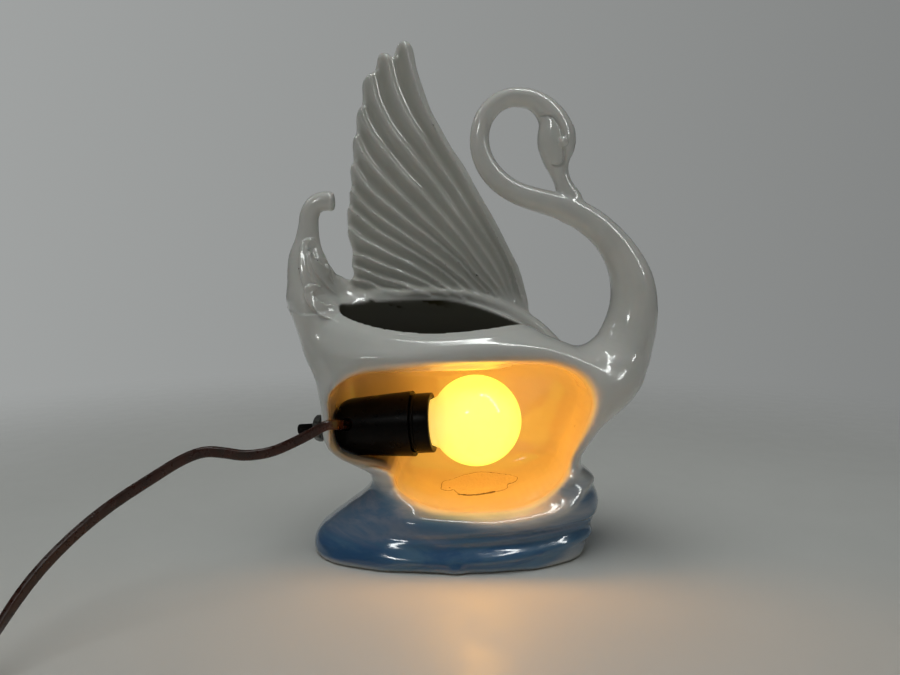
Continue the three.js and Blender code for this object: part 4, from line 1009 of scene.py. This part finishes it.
def build_stage():
    corners = [(a * FLOOR_HALF, b * FLOOR_HALF, 0) for a, b in ((-1, -1), (1, -1), (1, 1), (-1, 1))]
    floor = mesh_object("floor", corners, [(0, 1, 2, 3)])
    m = Nodes("pale_floor")
    tone = m.tones(m.noise(3, 4), 0.3, 0.7, (0.76, 0.765, 0.74), (0.72, 0.725, 0.70))
    away = m.add("VectorMath", {"operation": "LENGTH"}, Vector=m.position).outputs["Value"]
    fade = m.ramp(away, *FLOOR_FADE)
    floor.data.materials.append(m.finish(
        Base_Color=m.mix(fade, tone, (0, 0, 0, 1)), Emission_Color=WALL_TINT,
        Roughness=m.ramp(m.noise(40, 5), 0.3, 0.7, 0.42, 0.55),
        Emission_Strength=m.math("MULTIPLY", fade, m.wall_grey()),
        Specular_IOR_Level=m.ramp(fade, 0, 1, 0.5, 0),
    ))
    world = Nodes("studio", bpy.data.worlds, "Background")
    seen = world.add("LightPath").outputs["Is Camera Ray"]
    strength = world.add("MapRange", {"To Min": ROOM_LIGHT}, Value=seen, To_Max=world.wall_grey())
    bpy.context.scene.world = world.finish(Color=WALL_TINT, Strength=strength.outputs[0])
    panel = area_light("soft_panel", (-0.12, -0.12, 1.35), (0, 0, 0.1), (1.1, 1.1), 7.2)
    panel.visible_glossy = False
    for name, place, size, power in GLINTS:
        area_light(name, place, (0, 0, 0.15), size, power).visible_diffuse = False


def build_camera():
    camera = bpy.data.cameras.new("camera")
    camera.lens, camera.sensor_width, camera.clip_start = LENS, SENSOR, 0.01
    piece = add_object("camera", camera, CAMERA_PLACE)
    piece.rotation_euler = (math.radians(90 - CAMERA_PITCH), 0, 0)
    bpy.context.scene.camera = piece
    bpy.context.scene.view_settings.view_transform = "Standard"


def bulb_light():
    _, front, radius = extent("bulb_globe")
    light = bpy.data.lights.new("bulb_light", "POINT")
    light.energy = BULB_POWER
    light.color = BULB_COLOUR
    light.shadow_soft_size = 0.02
    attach(add_object("bulb_light", light, from_holder(0, front - radius, 0)), "bulb")
    for name in ("globe_glass", "bulb_stem", "bulb_lead_a", "bulb_lead_b", "bulb_filament"):
        bpy.data.objects[name].visible_shadow = False


# ---- Lampholder, bulb, cord and plug ----

TURN_TRAVEL = frame["record"]["behaviour"]["couplings"][0]["ratio"]
THREAD_PITCH = TURN_TRAVEL * 2 * math.pi / MM
THREAD_DEPTH = 0.5
CORD_HOLE_PLACE = 9.5  # along the lampholder
CORD_HOLE_RADIUS = 3.9
CORD_HOLE_ANGLE = 15  # degrees up from the near side
GLASS = 0.8  # thickness of the globe
BASE_NECK = 9.2  # radius of the bulb base at the insulator
WASHER_BORE = 5.3


def stand_for(piece, node, material):
    """Gives a finished piece its material and lets it replace the CAD node of the same part."""
    piece.data.materials.clear()
    piece.data.materials.append(material)
    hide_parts(node)
    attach(piece, frame["nodes"][node]["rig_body"])


def screw_form(start, end):
    """A rolled screw thread between two places along the axis, fading out at both."""

    def shape(radius, along, angle):
        window = ease(along, start, start + 2) * (1 - ease(along, end - 1.6, end))
        turn = 2 * np.pi * along / THREAD_PITCH + angle
        return radius + THREAD_DEPTH * window * (np.sin(turn) - 1)

    return shape


def dense_wall(radius, start, end, step=0.25):
    return [(radius, along) for along in np.arange(start, end, step)]


def build_globe():
    back, front, radius = extent("bulb_globe")
    stem, neck, shoulder = 12.0, 13.2, 15.2
    mouth = extent("socket_front_ring")[1]
    outer = [(stem, back), (neck, back + 4), (neck, mouth - 1)]
    inner = [(r - GLASS, along) for r, along in outer]
    for angle in np.linspace(math.asin(shoulder / radius), math.pi, 56):
        for side, r in ((outer, radius), (inner, radius - GLASS)):
            side.append((r * math.sin(angle), front - radius - r * math.cos(angle)))
    outer[-1] = (0, outer[-1][1])
    inner[-1] = (0, inner[-1][1])
    return lathe("globe_glass", outer + inner[::-1], 128)


def rolled_sheet(start, radius, back, front, sheet, rim):
    """Both sides of a rolled wall of thin sheet, which starts with the given points."""
    outer = start + dense_wall(radius, back, front - rim)
    inner = [(r - sheet, along) for r, along in outer[2:]][::-1]
    return outer + [(radius, front), (radius - sheet, front)] + inner


def build_bulb_base():
    back, front, radius = extent("bulb_base_shell")
    start = [(BASE_NECK, back), (radius - 0.9, back + 1.2)]
    profile = rolled_sheet(start, radius, back + 2.2, front, 0.35, 0.2) + [(BASE_NECK, back + 0.5)]
    return lathe("bulb_screw_base", profile, 128, screw_form(back + 2.4, front - 1))


def build_screw_shell():
    back, front, radius = extent("screw_shell")
    sheet, hole = 0.4, 8
    profile = rolled_sheet([(hole, back), (radius - 1, back)], radius, back + 1, front, sheet, 0.3)
    profile += [(radius - 1 - sheet, back + sheet), (hole, back + sheet)]
    return lathe("screw_shell_rolled", profile, 128, screw_form(back + 4.5, front - 0.8))


def build_socket_shell():
    back, front, radius = extent("socket_shell")
    rear, wall, bore, end = radius - 2.4, 2.7, 5.3, 3.2
    outside = [(bore, back), (rear - 2.4, back), (rear, back + 5.6), (radius, front)]
    inside = [(radius - wall, front), (rear - wall, back + 5.4)]
    inside += [(rear - wall - 3, back + end), (bore, back + end)]
    profile = fillet(outside, 0.4)[:4] + fillet(outside, 3.4, 8)[9:27] + fillet(outside, 0.5)[-4:]
    shell = lathe("socket_shell_moulded", profile + fillet(inside, 0.5), 128)
    cut_cord_hole(shell, radius)
    return shell


def cut_cord_hole(shell, radius):
    """The round hole in the wall where the cord goes in, on the near side."""
    angle = math.radians(CORD_HOLE_ANGLE)
    turn = np.linspace(0, 2 * np.pi, 48, endpoint=False)
    across, along = CORD_HOLE_RADIUS * np.cos(turn), CORD_HOLE_RADIUS * np.sin(turn)
    rings = []
    for reach in (radius - 9, radius + 6):
        near = reach * math.cos(angle) - across * math.sin(angle)
        up = reach * math.sin(angle) + across * math.cos(angle)
        rings.append(from_holder(near, CORD_HOLE_PLACE + along, up))
    first, last = np.arange(48), np.arange(48, 96)
    sides = zip(first, np.roll(first, -1), np.roll(last, -1), last)
    tool = mesh_object("cord_hole_tool", np.vstack(rings), [*sides, first[::-1], last])
    tidy_mesh(tool)
    cut = shell.modifiers.new("cord_hole", "BOOLEAN")
    cut.object = tool
    cut.operation = "DIFFERENCE"
    cut.solver = "EXACT"
    graph = bpy.context.evaluated_depsgraph_get()
    result = bpy.data.meshes.new_from_object(shell.evaluated_get(graph))
    shell.modifiers.clear()
    shell.data = result
    bpy.data.objects.remove(tool)
    shell.data.shade_smooth()
    shell.data.set_sharp_from_angle(angle=SHARP_ANGLE)


def build_front_ring():
    back, front, radius = extent("socket_front_ring")
    bore, seat = 14.2, 15.2
    step = back + 3
    profile = [(bore, front), (radius, front), (radius, step + 1.9), (radius - 0.5, step + 1.6)]
    profile += [(radius, step + 1.3), (radius, step), (seat, step), (seat, back), (bore, back)]
    return lathe("front_ring_moulded", fillet(profile, 0.45), 128)


def build_knob():
    back, front, radius = extent("switch_knob")
    bore, flute, count = 2.1, 0.14, 18
    corners = [(0, back), (radius, back), (radius, front), (bore, front), (bore, back + 1)]
    profile = [(0, back)] + fillet(corners, 1.0, 6)[1:]

    def flutes(r, along, angle):
        window = ease(along, back + 1.4, back + 2.6) * (1 - ease(along, front - 1.6, front - 0.8))
        return np.where(r > radius - 0.3, r + flute * window * (np.cos(count * angle) - 1), r)

    rows = [profile[0]]
    for start, end in zip(profile[:-1], profile[1:]):
        parts = max(1, int(abs(end[1] - start[1]) / 0.6))
        steps = np.arange(1, parts + 1) / parts
        rows += [tuple(np.array(start) + (np.array(end) - start) * t) for t in steps]
    return lathe("turn_knob", rows + [(0, back + 1)], 160, flutes)


def build_bushing():
    back, front, _ = extent("threaded_bushing")
    outer, bore, flange, inside, pitch = 5.0, 2.4, 8.0, 5.5, 0.95
    wall = dense_wall(outer, back + 0.6, inside, 0.125)
    profile = [(bore, back), (outer - 0.6, back)] + wall
    profile += [(outer, inside), (flange, inside), (flange, front), (bore, front)]

    def thread(r, along, angle):
        ridge = 0.22 * (np.sin(2 * np.pi * along / pitch + angle) - 1)
        return np.where((r > outer - 0.3) & (r < outer + 0.1) & (along < inside), r + ridge, r)

    return lathe("bushing_threads", profile, 96, thread)


def build_nut():
    back, front, _ = extent("hex_nut")
    flat, bore, chamfer = 7.0, WASHER_BORE, 0.9
    middle = (back + front) / 2

    def hexagon(r, along, angle):
        turn = (angle + np.pi / 6) % (np.pi / 3) - np.pi / 6
        past = np.clip(np.abs(along - middle) - (front - middle) + chamfer, 0, 2)
        side = np.minimum(flat / np.cos(turn), flat * 1.155 - 1.1 * past)
        return np.where(r > bore + 0.4, side * r / flat, r)

    profile = [(bore, back + 0.4), (bore + 0.3, back)]
    profile += [(flat, along) for along in np.linspace(back, front, 12)]
    profile += [(bore + 0.3, front), (bore, front - 0.4)]
    return lathe("panel_nut", profile, 180, hexagon)


def build_washer(name, node):
    back, front, radius = extent(node)
    corners = [(WASHER_BORE, back), (radius, back), (radius, front), (WASHER_BORE, front)]
    return lathe(name, fillet(corners, min(0.35, (front - back) / 3), 4), 96)


def build_lock_washer():
    back, front, radius = extent("lock_washer")
    bore, lift = 5.5, 0.28

    def teeth(r, along, angle):
        return np.where(r < bore + 0.5, r + 0.7 * (np.cos(10 * angle) > 0.1), r)

    profile = [(bore, back), (bore + 1.2, back), (radius - 0.3, back), (radius, back + lift)]
    profile += [(radius, front - lift), (radius - 0.3, front), (bore + 1.2, front), (bore, front)]
    return lathe("toothed_washer", profile, 160, teeth)


# Small CAD nodes that stay, by finish: the solid ones are bevelled, the cords and wires rounded.
BEVELLED = {
    "fibre": ("terminal_block", "switch_rotor", "plug_face_card"),
    "brass": (
        "centre_contact", "contact_rivet", "terminal_screw_line", "switch_blade_in",
        "switch_blade_out", "switch_bridge", "plug_blade_a", "plug_blade_b", "plug_screw_a",
        "plug_screw_b",
    ),
    "plated_steel": ("terminal_screw_neutral", "switch_shaft"),
    "solder": ("bulb_contact_tip",),
    "vitrite": ("bulb_base_insulator",),
    "clear": ("bulb_stem",),
    "phenolic": ("plug_body",),
}
ROUNDED = {
    "plated_steel": ("detent_spring", "bulb_lead_a", "bulb_lead_b"),
    "rubber": ("conductor_line", "conductor_neutral", "power_cord", "plug_lead_a", "plug_lead_b"),
    "tungsten": ("bulb_filament",),
}


def build_turned():
    """Every piece round the lampholder's axis that is made anew, and the finish of the others."""
    finishes = {
        "phenolic": phenolic(), "plated_steel": plated_steel(), "brass": aged_brass(),
        "fibre": vulcan_fibre(), "rubber": cord_rubber(), "bulb_glass": bulb_glass(),
        "vitrite": vitrite(), "solder": solder(), "clear": clear_glass(), "tungsten": tungsten(),
    }
    turned = (
        (build_globe(), "bulb_globe", "bulb_glass"),
        (build_bulb_base(), "bulb_base_shell", "brass"),
        (build_screw_shell(), "screw_shell", "brass"),
        (build_socket_shell(), "socket_shell", "phenolic"),
        (build_front_ring(), "socket_front_ring", "phenolic"),
        (build_knob(), "switch_knob", "phenolic"),
        (build_bushing(), "threaded_bushing", "plated_steel"),
        (build_nut(), "hex_nut", "plated_steel"),
        (build_washer("plain_washer", "flat_washer"), "flat_washer", "plated_steel"),
        (build_lock_washer(), "lock_washer", "plated_steel"),
        (build_washer("cushion_ring", "cushion_washer"), "cushion_washer", "fibre"),
    )
    for piece, node, slot in turned:
        stand_for(piece, node, finishes[slot])
    for kind, groups in (("BEVEL", BEVELLED), ("SUBSURF", ROUNDED)):
        for finish, nodes in groups.items():
            for node in nodes:
                dress(node, finishes[finish], kind)


def dress(node, material, kind):
    piece = frame["nodes"][node]
    piece.data.materials.clear()
    piece.data.materials.append(material)
    piece.data.shade_smooth()
    piece.modifiers.new("weld", "WELD").merge_threshold = MERGE
    if kind == "BEVEL":
        bevel = piece.modifiers.new("bevel", "BEVEL")
        bevel.width, bevel.segments = 0.00018, 2
        bevel.limit_method, bevel.angle_limit = "ANGLE", math.radians(28)
        bevel.harden_normals = True
    else:
        rounding = piece.modifiers.new("rounding", "SUBSURF")
        rounding.levels = rounding.render_levels = 2


# ---- Small materials ----


def phenolic():
    m = Nodes("phenolic")
    mottle = m.noise(420, 6, 0.65)
    cloud = m.noise(60, 3)
    colour = m.tones(mottle, 0.35, 0.7, (0.0016, 0.0013, 0.0011), (0.004, 0.0026, 0.002))
    colour = m.mix(m.ramp(cloud, 0.5, 0.8), colour, (0.006, 0.004, 0.003, 1))
    rough = m.ramp(m.noise(150, 5, 0.6), 0.3, 0.75, 0.26, 0.42)
    height = m.grain((90, 2, 0.0002, 0.2), (900, 3, 0.00004, 0.3))
    return m.finish(Base_Color=colour, Roughness=rough, Normal=height, Specular_IOR_Level=0.1)


def tarnished(name, patches, band, bright, dull, least_metal, rough, bump):
    """Metal with dull patches: the noises' scales first, then what they give."""
    m = Nodes(name)
    tarnish = m.ramp(m.noise(patches[0], 5, patches[1]), *band)
    return m.finish(
        Base_Color=m.mix(tarnish, (*bright, 1), (*dull, 1)),
        Metallic=m.ramp(tarnish, 0, 1, 1.0, least_metal),
        Roughness=m.ramp(m.noise(rough[0], 4), 0.3, 0.7, *rough[1:]),
        Normal=m.grain((bump[0], 4, 0.00005, bump[1])),
    )


def plated_steel():
    bright, dull = (0.20, 0.20, 0.185), (0.055, 0.05, 0.045)
    rough, bump = (500, 0.28, 0.52), (900, 0.5)
    return tarnished("plated_steel", (260, 0.65), (0.42, 0.68), bright, dull, 0.55, rough, bump)


def aged_brass():
    bright, dull = (0.60, 0.43, 0.18), (0.22, 0.13, 0.055)
    rough, bump = (420, 0.22, 0.46), (700, 0.4)
    return tarnished("aged_brass", (190, 0.6), (0.4, 0.7), bright, dull, 0.8, rough, bump)


def vulcan_fibre():
    m = Nodes("vulcan_fibre")
    fibres = m.noise(900, 5, 0.7, 0.4, stretch=(1, 4, 1))
    colour = m.tones(fibres, 0.3, 0.7, (0.035, 0.022, 0.016), (0.10, 0.062, 0.042))
    return m.finish(Base_Color=colour, Roughness=0.82, Normal=m.bump(fibres, 0.00012, 0.6))


def cord_rubber():
    m = Nodes("cord_rubber")
    grime = m.noise(130, 5, 0.6)
    colour = m.tones(grime, 0.35, 0.7, (0.042, 0.008, 0.002), (0.02, 0.005, 0.0015))
    rough = m.ramp(m.noise(300, 4), 0.3, 0.7, 0.22, 0.4)
    height = m.grain((60, 2, 0.0004, 0.2), (700, 3, 0.00008, 0.35))
    return m.finish(
        Base_Color=colour, Roughness=rough, Normal=height,
        Subsurface_Weight=0.08, Subsurface_Scale=0.001,
    )


def bulb_glass():
    """Glass with a lit white powder coat: the camera and reflections see it bright and yellow."""
    m = Nodes("bulb_glass")
    powder = m.noise(70, 4)
    tone = m.tones(powder, 0.3, 0.7, (1.0, 0.98, 0.10), (0.97, 0.93, 0.08))
    across = m.add("SeparateXYZ", Vector=m.position).outputs["X"]
    back = extent("bulb_globe")[0]
    start, end = (from_holder(0, along, 0)[0] for along in (back + 4, back + 26))
    tone = m.mix(m.ramp(across, start, end), (1.0, 0.58, 0.11, 1), tone)
    path = m.add("LightPath")
    seen = m.math("MAXIMUM", path.outputs["Is Camera Ray"], path.outputs["Is Glossy Ray"])
    return m.finish(
        Base_Color=(0.85, 0.8, 0.62, 1), Roughness=m.ramp(powder, 0.3, 0.7, 0.10, 0.2),
        Normal=m.grain((500, 2, 0.00004, 0.2)), Emission_Color=tone, Emission_Strength=seen,
        Coat_Weight=0.3,
    )


def one_noise(name, noise, band, first, second, rough, layers=(), **more):
    """A finish whose colour and roughness follow the same noise."""
    m = Nodes(name)
    value = m.noise(*noise)
    if layers:
        more["Normal"] = m.grain(*layers)
    return m.finish(
        Base_Color=m.tones(value, *band, first, second),
        Roughness=m.ramp(value, 0.3, 0.7, *rough), **more,
    )


def vitrite():
    tones = (0.012, 0.012, 0.018), (0.05, 0.05, 0.065)
    return one_noise("vitrite", (400, 3, 0.5, 1.5), (0.4, 0.65), *tones, (0.08, 0.2))


def solder():
    tones, bumps = ((0.52, 0.51, 0.49), (0.26, 0.25, 0.24)), ((500, 3, 0.00012, 0.6),)
    return one_noise("solder", (700, 4), (0.35, 0.7), *tones, (0.3, 0.5), bumps, Metallic=1.0)


def clear_glass():
    tones, clear = ((0.86, 0.9, 0.88), (0.78, 0.84, 0.8)), {"Transmission_Weight": 0.9}
    return one_noise("stem_glass", (300, 2), (0.5, 0.7), *tones, (0.03, 0.09), **clear)


def tungsten():
    m = Nodes("tungsten")
    heat = m.noise(900, 3)
    colour = m.mix(heat, (1, 0.55, 0.18, 1), (1, 0.72, 0.32, 1))
    return m.finish(
        Base_Color=(0.3, 0.29, 0.28, 1), Metallic=1.0, Emission_Color=colour,
        Roughness=m.ramp(heat, 0.3, 0.7, 0.35, 0.5), Emission_Strength=6.0,
    )


# ---- Scene ----

swan = build_ceramic()
stand_for(swan, "ceramic_swan_body", glazed_ceramic())
build_turned()
build_stage()
build_camera()
bulb_light()
